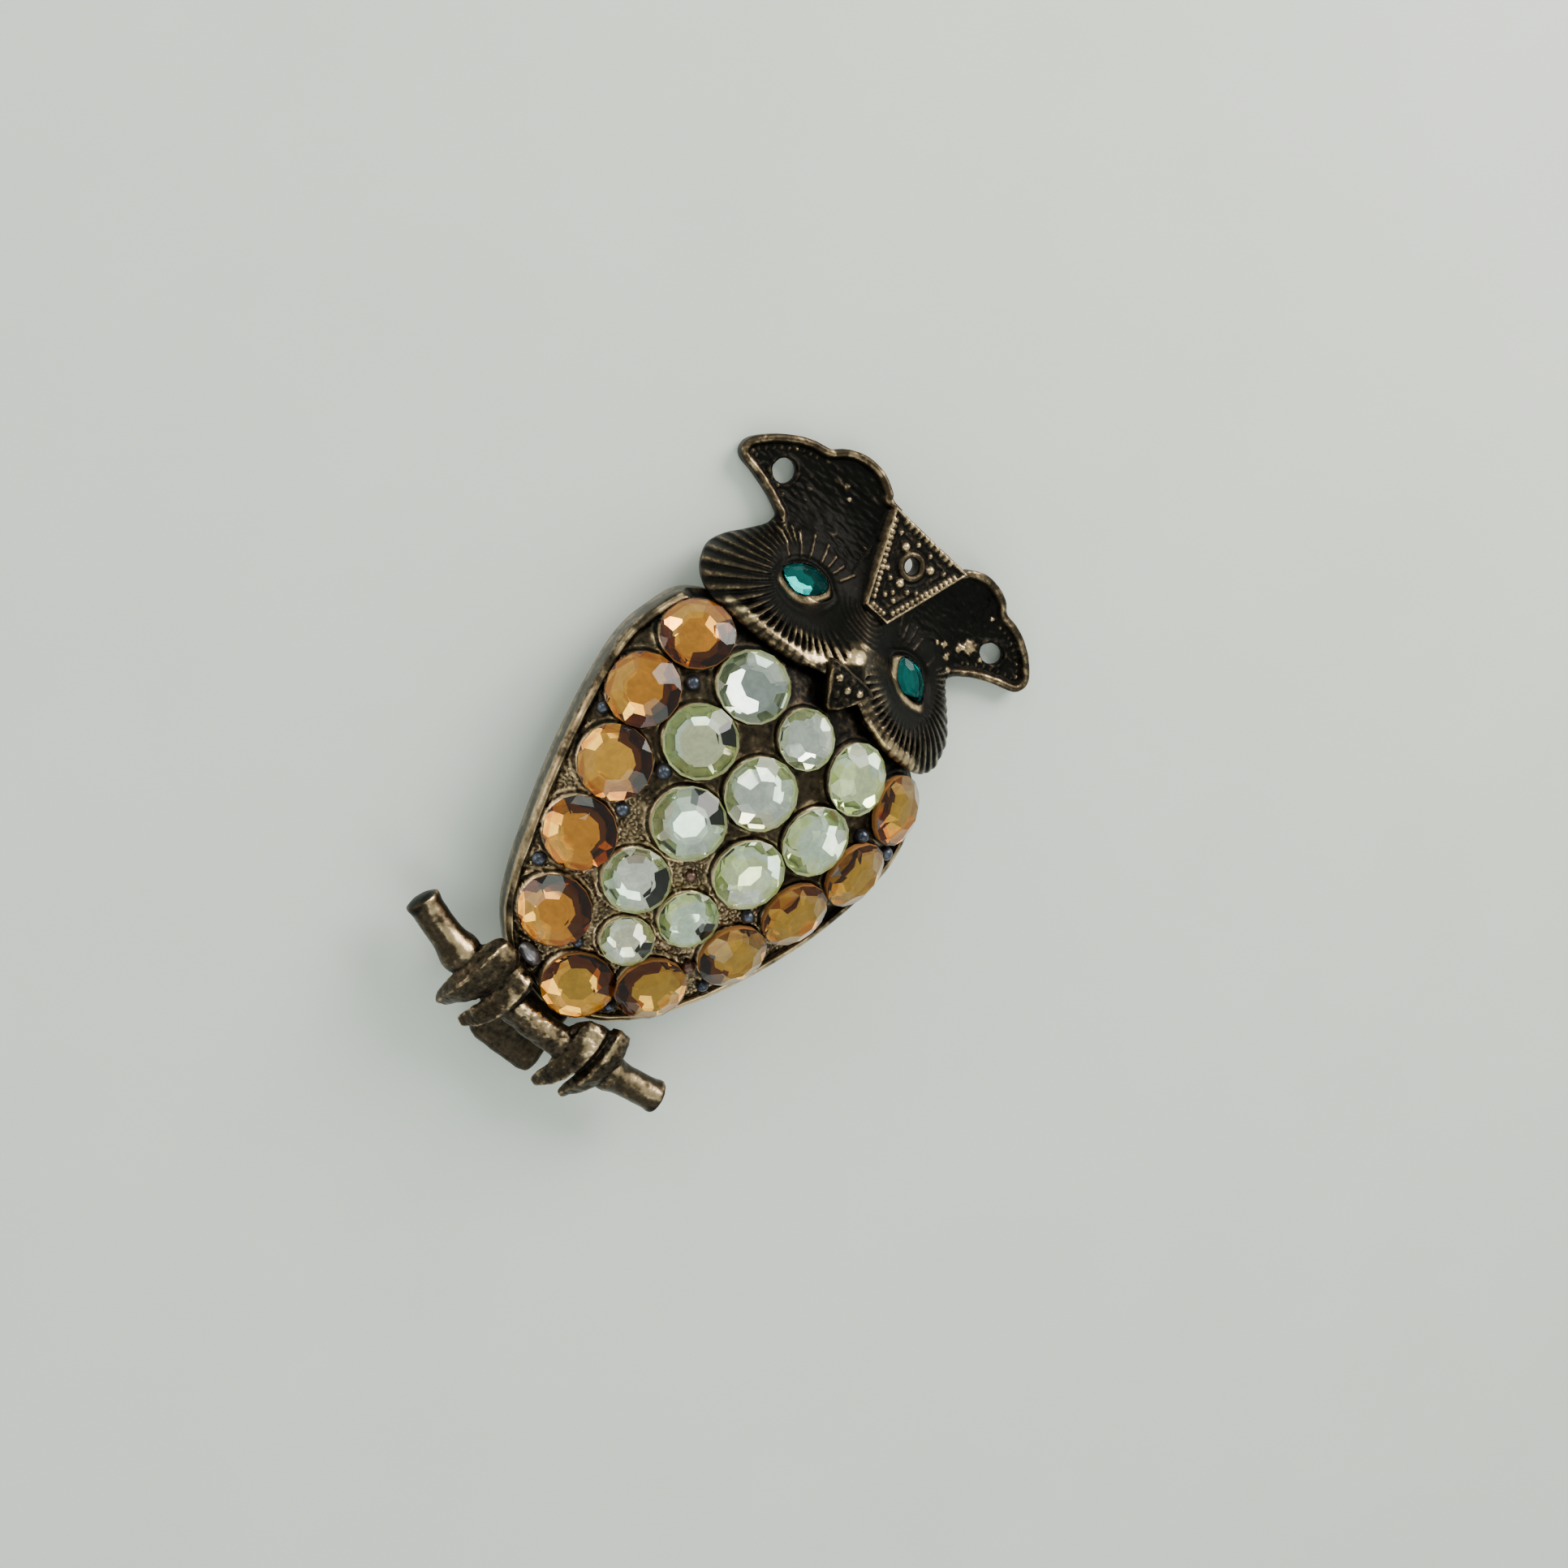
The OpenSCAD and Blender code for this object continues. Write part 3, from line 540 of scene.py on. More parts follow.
def inside(points, loop):
    """Which points lie within a closed loop."""
    x, y = points.T
    hit = np.zeros(len(points), bool)
    for (x0, y0), (x1, y1) in zip(loop, np.roll(loop, -1, axis=0)):
        if y0 != y1:
            hit ^= ((y0 > y) != (y1 > y)) & (x < (x1 - x0) * (y - y0) / (y1 - y0) + x0)
    return hit


square = spaced([(0.0, 0.0), (1.0, 0.0), (1.0, 1.0), (0.0, 1.0)], 0.25)
print("points round a square:", len(square))

# %% Noise and loose points


def rough(points, size, octaves, shift=0.0):
    """Smooth noise from about -1 to 1 whose lumps are about `size` millimetres wide."""
    if points.shape[1] == 2:
        points = np.column_stack([points, np.full(len(points), shift)])
    return np.array([noise.fractal(Vector(p), 1.0, 2.0, octaves) for p in points / size])


def scattered(low, high, gap, loop, margin, holes=(), clear=0.0):
    """Staggered rows of points within a loop and outside its holes, some way off their edges."""
    rows = []
    for j, y in enumerate(np.arange(low[1], high[1], gap * math.sqrt(0.75))):
        xs = np.arange(low[0] + gap / 2 * (j % 2), high[0], gap)
        rows.append(np.column_stack([xs, np.full(len(xs), y)]))
    grid = np.vstack(rows)
    grid = grid[inside(grid, loop)]
    grid = grid[edge_distance(grid, loop) > margin]
    for hole in holes:
        grid = grid[~inside(grid, hole) & (edge_distance(grid, hole) > clear)]
    return grid


print("loose points in the square:", len(scattered((0, 0), (1, 1), 0.25, square, 0.1)))

# %% Triangles over a flat outline, and a closed sheet from them
WALL_ROWS = 4


def triangles_over(loops, extra):
    """Joins loops and loose points by triangles; hole loops stay open."""
    points = [Vector(p) for p in np.vstack([*loops, extra])]
    edges, start = [], 0
    for loop in loops:
        n = len(loop)
        edges += [(start + k, start + (k + 1) % n) for k in range(n)]
        start += n
    found, _, faces, origin, _, _ = geometry.delaunay_2d_cdt(points, edges, [], 2, 1e-7)
    place = {i: k for k, ids in enumerate(origin) for i in ids}
    found, faces = np.array([tuple(p) for p in found]), np.array(faces)
    middles = found[faces].mean(axis=1)
    for hole in loops[1:]:
        kept = ~inside(middles, hole)
        faces, middles = faces[kept], middles[kept]
    return found, faces, np.array([place[i] for i in range(start)])


def closed_sheet(loops, fine, coarse, top, low):
    """A sheet with relief above, a smooth underside and a wall round each loop."""
    flat_a, faces_a, rim_a = triangles_over(loops, fine)
    flat_b, faces_b, rim_b = triangles_over(loops, coarse)
    upper = np.column_stack([flat_a, top(flat_a)])
    lower = np.column_stack([flat_b, low(flat_b)])
    shift = len(upper)
    corners, faces = [upper, lower], [list(f) for f in faces_a]
    faces += [[shift + i for i in f[::-1]] for f in faces_b]
    count = shift + len(lower)
    start = 0
    for loop in loops:
        n = len(loop)
        ids_top, ids_low = rim_a[start:start + n], shift + rim_b[start:start + n]
        rows = [ids_top]
        for r in range(1, WALL_ROWS):
            t = r / WALL_ROWS
            corners.append(upper[ids_top] * (1 - t) + lower[ids_low - shift] * t)
            rows.append(np.arange(count, count + n))
            count += n
        rows.append(ids_low)
        for above, below in zip(rows, rows[1:]):
            for k in range(n):
                m = (k + 1) % n
                faces.append([above[m], above[k], below[k], below[m]])
        start += n
    return np.vstack(corners), faces, len(upper)


print("sheet helpers ready, wall rows:", WALL_ROWS)

# %% High places, where metal wears bright


def neighbours(faces):
    pairs = np.array([(f[i], f[(i + 1) % len(f)]) for f in faces for i in range(len(f))])
    return np.unique(np.sort(pairs, axis=1), axis=0)


def spread(values, pairs, times):
    """Averages each corner's value with those of its neighbours."""
    for _ in range(times):
        total, count = np.zeros_like(values), np.zeros(len(values))
        for a, b in ((0, 1), (1, 0)):
            np.add.at(total, pairs[:, a], values[pairs[:, b]])
            np.add.at(count, pairs[:, a], 1)
        shape = count.reshape(-1, *([1] * (values.ndim - 1)))
        values = (values + total / np.maximum(shape, 1)) / 2
    return values


def standing_out(obj, faces, times):
    """How much each corner stands out of its surroundings, in millimetres."""
    mesh = obj.data
    found, normal = np.empty(len(mesh.vertices) * 3), np.empty(len(mesh.vertices) * 3)
    mesh.vertices.foreach_get("co", found)
    mesh.vertices.foreach_get("normal", normal)
    found, normal = found.reshape(-1, 3) / MM, normal.reshape(-1, 3)
    pairs = neighbours(faces)
    return np.einsum("ij,ij->i", found - spread(found, pairs, times), normal)


print("edges of a cut stone:", len(neighbours(cut_faces()[0])))

# %% [markdown]
# ## The body
# The body is a shallow cast dish turned over: a dome with a standing rim, and a bed for each stone.
# Between the beds the metal is rough, with small lips pushed up round the glass. The dome is worked
# out as in the solid, and the relief is added on top of it, so the stones still sit where they did.

# %% The dome and its outline
BODY_W, BODY_L, BODY_TOP = 32.2, 38.4, 13.0
RIM_T, RIM_H, SHELL_T, RIM_END = 0.65, 1.1, 1.2, 9.24
APEX_Y, CROSS_R, BELLY_R, CHEST_R, DOME_Z = 1.0, 24.0, 46.0, 18.0, 12.2
# Share of the length down from the top edge, share of the half width
BODY_ROWS = [(0, 0), (.010, .370), (.042, .640), (.096, .870), (.182, .965), (.273, 1), (.390, .965),
             (.495, .908), (.573, .853), (.651, .785), (.729, .708), (.807, .620), (.893, .490),
             (.964, .290), (1, 0)]


def dome(x, y, lift=0.0):
    """Height of the dome's floor, raised or sunk by a lift, over a place on the table."""
    r = np.where(y < APEX_Y, BELLY_R, CHEST_R)
    barrel = CROSS_R - r + np.sqrt(np.maximum((r + lift) ** 2 - (y - APEX_Y) ** 2, 0))
    return DOME_Z - CROSS_R + np.sqrt(np.maximum(barrel ** 2 - x ** 2, 0))


half = smooth_rows(BODY_ROWS, 8)
right = np.column_stack([BODY_W / 2 * np.maximum(half[:, 1], 0), BODY_TOP - BODY_L * half[:, 0]])
left = right[1:-1][::-1] * (-1, 1)
body_outline = spaced(np.vstack([right, left])[::-1], 0.24)
print("points of the body's outline:", len(body_outline))

# %% Ground between the stones
STONES = [f"clear_{i:02d}" for i in range(1, 12)] + [f"amber_{i:02d}" for i in range(1, 12)]
SEATS = {name: seat_of(name) for name in STONES}
GROUND, LIP, BED_GAP = 0.46, 0.20, 0.15
# Shares of a stone's radius: its lip, the lip's width, and the inner and outer side of its wall
LIP_AT, LIP_W, WALL_IN, WALL_OUT = 1.08, 0.05, 0.97, 1.04


def ground_height(flat, lumps):
    """Height of the ground over the dome's floor: rough, with a lip and a bed for each stone."""
    floor_z = dome(*flat.T)
    steep = (dome(*flat.T, 0.01) - floor_z) / 0.01
    pebbles = np.abs(rough(flat, 0.33, 1, 4.0)) * 2 - 0.5
    height = GROUND + 0.09 * lumps + 0.16 * smoothstep(-3.0, -8.0, flat[:, 1]) * pebbles
    broken = 0.6 + 0.5 * rough(flat, 1.4, 2, 11.0)
    for middle, up, radius in SEATS.values():
        away = flat - middle[:2]
        plane = middle[2] - (away @ up[:2]) / up[2]
        share = np.linalg.norm(np.column_stack([away, plane - middle[2]]), axis=1) / radius
        wall = GIRDLE * radius
        depth = wall + (DEPTH - wall) * np.clip((1 - share) / (1 - AMBER_BACK), 0, 1)
        bed = (plane - depth / up[2] - BED_GAP - floor_z) / steep
        height = height + LIP * broken * hump(share, LIP_AT, LIP_W)
        sunk = np.where(share < WALL_IN, np.maximum(bed, 0.02), np.minimum(height, bed))
        height = np.where(share < WALL_OUT, sunk, height)
    return height


def body_lift(flat):
    """Rim, ground and beds, as a height over the dome's floor."""
    edge = edge_distance(flat, body_outline)
    lumps = rough(flat, 0.9, 4)
    wave = rough(flat, 2.2, 2, 7.0)
    stands = 1 - smoothstep(RIM_END - 0.7, RIM_END, flat[:, 1])
    width = RIM_T + 0.05 * wave
    crown = RIM_H - 0.04 - 0.10 * np.maximum(wave, 0) - 0.20 * (np.abs(edge / width - 0.5) * 2) ** 4
    return np.where(edge < width, crown * stands + (1 - stands) * 0.1, ground_height(flat, lumps))


print("seats:", len(SEATS))

# %% Points of the body, denser at the rim and round each stone
rim_loops = [inward(body_outline, d) for d in (0.06, 0.15, 0.3, 0.45, 0.58, 0.64, 0.72, 0.85, 1.0)]
BOX_LOW, BOX_HIGH = (-BODY_W / 2, BODY_TOP - BODY_L), (BODY_W / 2, BODY_TOP)
OFF_RIM = 1.12


def seat_loop(seat, share):
    """A circle in the plane of a stone's girdle, seen from straight above."""
    middle, up, radius = seat
    x, y, _ = turned_frame(up, 0)
    a = round_angles(84)
    return (middle + radius * share * (np.outer(np.cos(a), x) + np.outer(np.sin(a), y)))[:, :2]


deep = scattered(BOX_LOW, BOX_HIGH, 0.24, body_outline, OFF_RIM)
fine = scattered(BOX_LOW, (BODY_W / 2, -1), 0.12, body_outline, OFF_RIM)
bare = np.all([np.linalg.norm(fine - m[:2], axis=1) > 0.92 * r for m, _, r in SEATS.values()], axis=0)
fine = fine[bare] + 0.03
seat_walls = np.vstack([seat_loop(seat, share) for seat in SEATS.values()
                        for share in (0.955, 0.985, 1.03, 1.09)])
within = inside(seat_walls, body_outline) & (edge_distance(seat_walls, body_outline) > OFF_RIM)
seat_walls = seat_walls[within]
for seat in SEATS.values():
    wall_in, wall_out = seat_loop(seat, 0.91), seat_loop(seat, 1.13)
    deep = deep[~inside(deep, wall_out) | inside(deep, wall_in)]
    fine = fine[~inside(fine, wall_out)]
wide = scattered(BOX_LOW, BOX_HIGH, 0.8, body_outline, 0.4)


def body_top(flat):
    return dome(*flat.T, body_lift(flat))


def body_low(flat):
    return dome(*flat.T, -SHELL_T)


top_points = np.vstack([*rim_loops, deep, fine, seat_walls])
corners, faces, top_count = closed_sheet([body_outline], top_points, wide, body_top, body_low)
print("body corners:", len(corners), "faces:", len(faces))

# %% Turned shapes


def tube_faces(rows, sides):
    """Faces between rings of corners, and a lid at either end."""
    found = []
    for low in range(0, (rows - 1) * sides, sides):
        for k in range(sides):
            m = (k + 1) % sides
            found.append([low + k, low + m, low + sides + m, low + sides + k])
    return found + [list(range(sides))[::-1], list(range((rows - 1) * sides, rows * sides))]


def lathe(middle, profile, sides):
    """A turned solid: rows of radius and height round a middle line that stands up."""
    a = round_angles(sides)
    rows = [np.column_stack([middle[0] + r * np.cos(a), middle[1] + r * np.sin(a), np.full(sides, z)])
            for r, z in profile]
    return np.vstack(rows), tube_faces(len(rows), sides)


def gather(parts):
    """Joins several closed shapes into one list of corners and faces."""
    points, found, count = [], [], 0
    for p, f in parts:
        points.append(p)
        found += [[count + i for i in face] for face in f]
        count += len(p)
    return np.vstack(points), found


print("corners of a short tube:", len(lathe((0, 0), [(1, 0), (1, 1)], 24)[0]))

# %% Posts and pads under the body
PIN_L, PIN_W, PIN_T, PIN_Z, PIN_Y, STEM_D = 25.0, 4.4, 0.9, 3.6, 6.5, 0.9
POST_X, POST_R = PIN_L * 0.36, PIN_W * 0.3
LEG_X, LEG_Y, LEG_R = BODY_W * 0.13, BODY_TOP - BODY_L * 0.055, 0.7
LEG_CORNER = LEG_R * math.cos(math.pi / 4)
LEG_FOOT = float(dome(LEG_X - LEG_CORNER, LEG_Y - LEG_CORNER)) + 0.1
FILLET_H, FILLET_W, BEVEL = 0.9, 0.55, 0.12


def post(x):
    top, low = float(dome(x, PIN_Y, -SHELL_T / 2)), PIN_Z + PIN_T
    fillet = [(POST_R + FILLET_W * t ** 2, top - FILLET_H * (1 - t)) for t in np.linspace(0.2, 1, 5)]
    rows = [(POST_R - BEVEL, low), (POST_R, low + BEVEL), (POST_R, top - FILLET_H), *fillet]
    return lathe((x, PIN_Y), rows, 40)


def pad(x):
    low = float(dome(x, LEG_Y, -SHELL_T / 2))
    return lathe((x, LEG_Y), [(LEG_R, low), (LEG_R, LEG_FOOT - 0.05), (LEG_R - 0.05, LEG_FOOT)], 24)


print("height of a leg's foot:", round(LEG_FOOT, 2))

# %% The tail's block, and all parts of the dish
TAIL_X, TAIL_W, TAIL_BLOCK_L, TAIL_ROOT_Z = 1.2, 7.0, 4.0, 0.6
BODY_END = BODY_TOP - BODY_L


def tail_block():
    """A block under the lower end with a flat face for the tail; its top follows the dome."""
    xs = TAIL_X + np.linspace(-0.4, 0.4, 9) * TAIL_W
    ys = BODY_END + np.linspace(0, 1, 7) * TAIL_BLOCK_L
    flat = np.array([(x, y) for y in ys for x in xs])
    high = np.column_stack([flat, dome(*flat.T, -SHELL_T / 2)])
    low_z = TAIL_ROOT_Z + 0.35 * ((flat[:, 1] - BODY_END) / TAIL_BLOCK_L) ** 2
    lower = np.column_stack([flat, low_z])
    w, n = len(xs), len(flat)
    found = [[j * w + i, j * w + i + 1, (j + 1) * w + i + 1, (j + 1) * w + i]
             for j in range(len(ys) - 1) for i in range(w - 1)]
    found += [[n + k for k in f[::-1]] for f in found]
    border = [*range(w), *range(2 * w - 1, n, w), *range(n - 2, n - w - 1, -1), *range(n - 2 * w, 0, -w)]
    for a, b in zip(border, border[1:] + border[:1]):
        found.append([b, a, n + a, n + b])
    return np.vstack([high, lower]), found


body_corners, body_faces = gather([(corners, faces), post(-POST_X), post(POST_X), pad(-LEG_X), pad(LEG_X),
                                   tail_block()])
print("corners with posts, pads and block:", len(body_corners))

# %% The body, where it is worn, and its painted shadow under the head
body = piece("body_dish", body_corners, body_faces, [cast_bronze], ["body_shell"])
lift = standing_out(body, body_faces, 6)
flat = body_corners[:, :2]
edge = edge_distance(flat, body_outline)
surface_tone = 0.33 + 2.6 * np.clip(lift, -0.12, 0.12) + 0.14 * rough(body_corners, 1.6, 3)
on_top = np.arange(len(body_corners)) < top_count
# Painted shadow: the top next to the head is darkened, where the head's shadow falls on the ground between
# the stones. The lower end is made brighter.
surface_tone = surface_tone + (0.24 * smoothstep(-3, -9, flat[:, 1]) - 0.22 * smoothstep(5, 8, flat[:, 1])) * on_top
rim_wear = (edge > 0.08) & (edge < RIM_T * 0.9) & on_top & (flat[:, 1] < RIM_END - 0.8)
at_right = smoothstep(0, 9, flat[:, 0]) * smoothstep(-6, -14, flat[:, 1])
surface_tone = np.where(rim_wear, 0.62 + 0.30 * at_right + 0.45 * rough(body_corners, 1.7, 3), surface_tone)
paint(body, "wear_and_painted_light", surface_tone)
print("body wear, mean:", round(float(surface_tone.mean()), 2))

# %% [markdown]
# ## Gunmetal beads
# Tiny round beads fill the gaps between the stones. They are soft metal and slightly out of round,
# so each starts as a fine ball of triangles that noise pushes in and out a little. One of them, at
# the foot of the border, is a long drop.

# %% A ball of triangles


def ball_mesh(levels):
    """A ball of radius 1 whose triangles are all nearly alike."""
    g = (1 + 5 ** 0.5) / 2
    points = [(-1, g, 0), (1, g, 0), (-1, -g, 0), (1, -g, 0), (0, -1, g), (0, 1, g), (0, -1, -g), (0, 1, -g),
              (g, 0, -1), (g, 0, 1), (-g, 0, -1), (-g, 0, 1)]
    found = [(0, 11, 5), (0, 5, 1), (0, 1, 7), (0, 7, 10), (0, 10, 11), (1, 5, 9), (5, 11, 4), (11, 10, 2),
             (10, 7, 6), (7, 1, 8), (3, 9, 4), (3, 4, 2), (3, 2, 6), (3, 6, 8), (3, 8, 9), (4, 9, 5),
             (2, 4, 11), (6, 2, 10), (8, 6, 7), (9, 8, 1)]
    points = [np.array(p) / np.linalg.norm(p) for p in points]
    for _ in range(levels):
        middles, finer = {}, []

        def middle(a, b):
            key = (min(a, b), max(a, b))
            if key not in middles:
                p = points[a] + points[b]
                points.append(p / np.linalg.norm(p))
                middles[key] = len(points) - 1
            return middles[key]

        for a, b, c in found:
            ab, bc, ca = middle(a, b), middle(b, c), middle(c, a)
            finer += [(a, ab, ca), (b, bc, ab), (c, ca, bc), (ab, bc, ca)]
        found = finer
    return np.array(points), found


BALL, BALL_FACES = ball_mesh(4)
print("corners of a ball:", len(BALL))

# %% Gunmetal beads


def gunmetal(name, dark, bright):
    make = Nodes(name)
    cloud = make.noise(1100.0)
    make.coat("Base Color", cloud, [(0.3, dark), (0.7, bright)])
    make.coat("Roughness", cloud, [(0.3, (0.22,) * 3), (0.7, (0.38,) * 3)])
    make.even("Metallic", 0.85)
    make.bump(make.noise(3500.0), 0.2)
    return make.material


bead_metal = gunmetal("bead_metal", (0.032, 0.036, 0.052), (0.11, 0.12, 0.16))
pearl_grey = gunmetal("pearl_grey", (0.16, 0.14, 0.16), (0.42, 0.38, 0.42))
pearl_brown = gunmetal("pearl_brown", (0.070, 0.035, 0.028), (0.20, 0.12, 0.10))
LONG_BEAD, BROWN_BEADS, STRETCH, BEAD_TURN = 6, (9, 14), 1.72, 0.16
for i in range(1, 15):
    points = corners_of(f"ball_{i:02d}")
    low, high = points.min(axis=0), points.max(axis=0)
    shape = BALL * (1 + 0.03 * rough(BALL + i, 0.8, 2))[:, None]
    if i == LONG_BEAD:
        c, s = math.cos(BEAD_TURN), math.sin(BEAD_TURN)
        shape = shape * (STRETCH, 1.0, 1.0) @ np.array([[c, -s, 0], [s, c, 0], [0, 0, 1]])
    metal = pearl_brown if i in BROWN_BEADS else pearl_grey if i == LONG_BEAD else bead_metal
    corners = (low + high) / 2 + (high - low).max() / 2 * shape
    piece(f"bead_{i:02d}", corners, BALL_FACES, [metal], [f"ball_{i:02d}"])
print("beads:", i, "of which brown:", len(BROWN_BEADS))

# %% [markdown]
# ## Branch and feet
# The owl grips a short round branch with two feet of two toes each. On the real casting they run
# into one another, so the branch and the toes are made as separate swept shapes, then fused and
# softened with a voxel remesh, and roughened a little like a real sand-cast surface.

# %% Swept shapes


def swept(path, across, widths, heights, sides, power=2.0, lean=0.0):
    """Rings with their own width and height, set square to a path; `across` says which way is wide.
    A power of 2 gives ovals, a lower one a ridge along the top, and a lean moves the ridge over."""
    path, widths, heights = np.asarray(path, float), np.asarray(widths, float), np.asarray(heights, float)
    along = np.gradient(path, axis=0)
    along /= np.linalg.norm(along, axis=1)[:, None]
    wide = np.asarray(across, float) - along * (along @ np.asarray(across, float))[:, None]
    wide /= np.linalg.norm(wide, axis=1)[:, None]
    high = np.cross(wide, along)
    high *= np.sign(high[:, 2:3]) if abs(high[0, 2]) > 0.1 else 1
    a = round_angles(sides)
    reach = (np.abs(np.cos(a)) ** power + np.abs(np.sin(a)) ** power) ** (-1 / power)
    x, y = np.cos(a) * reach, np.sin(a) * reach
    x = x + lean * np.maximum(y, 0) * (1 - np.abs(x))
    rings = [path[i] + np.outer(x * widths[i], wide[i]) + np.outer(y * heights[i], high[i])
             for i in range(len(path))]
    points, found = np.vstack(rings), tube_faces(len(rings), sides)
    first = found[0]
    normal = np.cross(points[first[1]] - points[first[0]], points[first[2]] - points[first[0]])
    if normal @ (points[first[0]] - path[0]) < 0:
        found = [f[::-1] for f in found]
    return points, found


print("sides of a tube with rings of 24:", len(tube_faces(2, 24)) - 2)

# %% The branch
BRANCH_L, BRANCH_R, BRANCH_Z = 28.6, 1.4, 5.3
LOG_Y, LOG_Z = BODY_END - BRANCH_R - 0.3, BRANCH_Z + 1.008
BOWS = (0.09, 0.042)


def branch_at(s):
    s = np.asarray(s, float)
    bow = np.where(s < 0, BOWS[0], BOWS[1])
    return np.stack([s * BRANCH_L / 2, LOG_Y + BRANCH_L * s * s * bow,
                     LOG_Z + (BRANCH_Z - LOG_Z) * np.abs(s)], axis=-1)


def branch():
    """Round, swollen where it meets the feet, with slightly flared and rounded ends."""
    s = np.concatenate([[-1], np.linspace(-0.995, 0.995, 110), [1]])
    x, end = s * BRANCH_L / 2, 1 - np.abs(s)
    r = BRANCH_R * (1.0 + 0.10 * hump(end, 0.03, 0.03))
    r = r + 0.42 * hump(x, -8.6, 1.1) + 0.34 * hump(x, 8.7, 0.9)
    r = r * np.sqrt(np.clip(1 - (1 - np.clip(end / 0.028, 0.02, 1)) ** 2, 0.03, 1))
    return swept(branch_at(s), (0, 1, 0), r, r, 36)


print("middle of the branch:", np.round(branch_at(0.0), 2))

# %% The toes
# Rows from the body to the tip: place across, along and up, half width, half thickness
TOES = [
    (-0.5, [(-5.9, -23.0, 6.9, 1.10, .50), (-6.0, -23.8, 7.1, 1.60, .85), (-6.3, -25.8, 7.3, 1.80, 1.1),
            (-6.6, -27.9, 6.8, 1.65, 1.1), (-6.8, -29.4, 5.7, 1.15, .90), (-6.9, -30.5, 4.8, .60, .55)]),
    (0.45, [(-3.3, -24.3, 6.8, 1.05, .50), (-3.3, -25.1, 7.1, 1.25, .80), (-3.5, -27.0, 7.2, 1.25, 1.05),
            (-3.8, -28.9, 6.4, 1.05, .95), (-4.1, -30.2, 5.3, .75, .7), (-4.3, -30.9, 4.8, .45, .45)]),
    (0.5, [(4.9, -23.9, 6.8, 1.05, .50), (4.9, -24.8, 7.1, 1.30, .85), (4.8, -27.0, 7.2, 1.35, 1.1),
           (4.7, -29.1, 6.3, 1.10, .95), (4.5, -30.7, 5.1, .70, .65), (4.4, -31.4, 4.6, .40, .4)]),
    (-0.4, [(7.1, -23.2, 6.3, 1.00, .45), (7.2, -24.2, 6.8, 1.20, .80), (7.3, -26.4, 7.0, 1.25, 1.0),
            (7.2, -28.5, 6.4, 1.05, .9), (7.0, -30.1, 5.3, .68, .6), (6.9, -30.8, 4.9, .40, .4)]),
]


def toe(lean, rows):
    rows = smooth_rows(rows, 7)
    half = np.maximum(rows[:, 3:], .05)
    return swept(rows[:, :3], (1, 0, 0), half[:, 0], half[:, 1], 36, 1.3, lean)


def web(x, y, z, wide, long, high):
    """The flesh of a foot, between its toes and the branch."""
    return BALL * (wide, long, high) + (x, y, z), BALL_FACES


print("toes:", len(TOES))

# %% Branch and feet in one skin


def fused(name, parts, voxel, smooth_times):
    """Joins overlapping closed shapes into one skin, and gives its corners and faces back."""
    points, found = gather(parts)
    mesh = bpy.data.meshes.new(name)
    mesh.from_pydata((points * MM).tolist(), [], [list(map(int, f)) for f in found])
    obj = bpy.data.objects.new(name, mesh)
    bpy.context.collection.objects.link(obj)
    remesh = obj.modifiers.new("fuse", "REMESH")
    remesh.mode, remesh.voxel_size = "VOXEL", voxel * MM
    soften = obj.modifiers.new("soften", "SMOOTH")
    soften.factor, soften.iterations = 0.5, smooth_times
    done = obj.evaluated_get(bpy.context.evaluated_depsgraph_get()).to_mesh()
    corners = np.empty(len(done.vertices) * 3)
    done.vertices.foreach_get("co", corners)
    faces = [list(p.vertices) for p in done.polygons]
    obj.to_mesh_clear()
    bpy.data.objects.remove(obj)
    return corners.reshape(-1, 3) / MM, faces


def normals_of(corners, faces):
    mesh = bpy.data.meshes.new("measure")
    mesh.from_pydata(corners.tolist(), [], faces)
    normal = np.empty(len(mesh.vertices) * 3)
    mesh.vertices.foreach_get("normal", normal)
    bpy.data.meshes.remove(mesh)
    return normal.reshape(-1, 3)


perch_parts = [branch()] + [toe(lean, rows) for lean, rows in TOES]
perch_parts += [web(-5.0, -25.7, 6.2, 3.2, 2.3, 1.35), web(5.9, -26.0, 6.1, 2.8, 2.3, 1.35)]
perch_corners, perch_faces = fused("perch_raw", perch_parts, 0.12, 1)
outward = normals_of(perch_corners, perch_faces)
at_feet = smoothstep(9.6, 8.0, np.abs(perch_corners[:, 0] - 0.4))
lumps = (0.02 + 0.07 * at_feet) * rough(perch_corners, 0.9, 4)
perch_corners = perch_corners + outward * lumps[:, None]
perch = piece("branch_and_feet", perch_corners, perch_faces, [cast_bronze], ["perch"])
# Painted light on the branch: its two ends are darkened as painted shade, and a gold streak on the faces
# turned up and towards the body is a painted highlight.
stub_end_shade = smoothstep(13.5, 14.0, np.abs(perch_corners[:, 0]))
painted_streak = smoothstep(0.84, 0.98, outward @ np.array([-0.10, 0.42, 0.90]))
painted_streak = painted_streak * smoothstep(-0.6, 0.2, rough(perch_corners, 1.7, 3))
surface_tone = 0.34 - 0.05 * at_feet + 7.5 * np.clip(standing_out(perch, perch_faces, 8), -0.06, 0.08)
paint(perch, "wear_and_painted_light", surface_tone + 0.10 * rough(perch_corners, 1.0, 4) + 0.50 * painted_streak - 0.35 * stub_end_shade)
print("perch corners:", len(perch_corners))

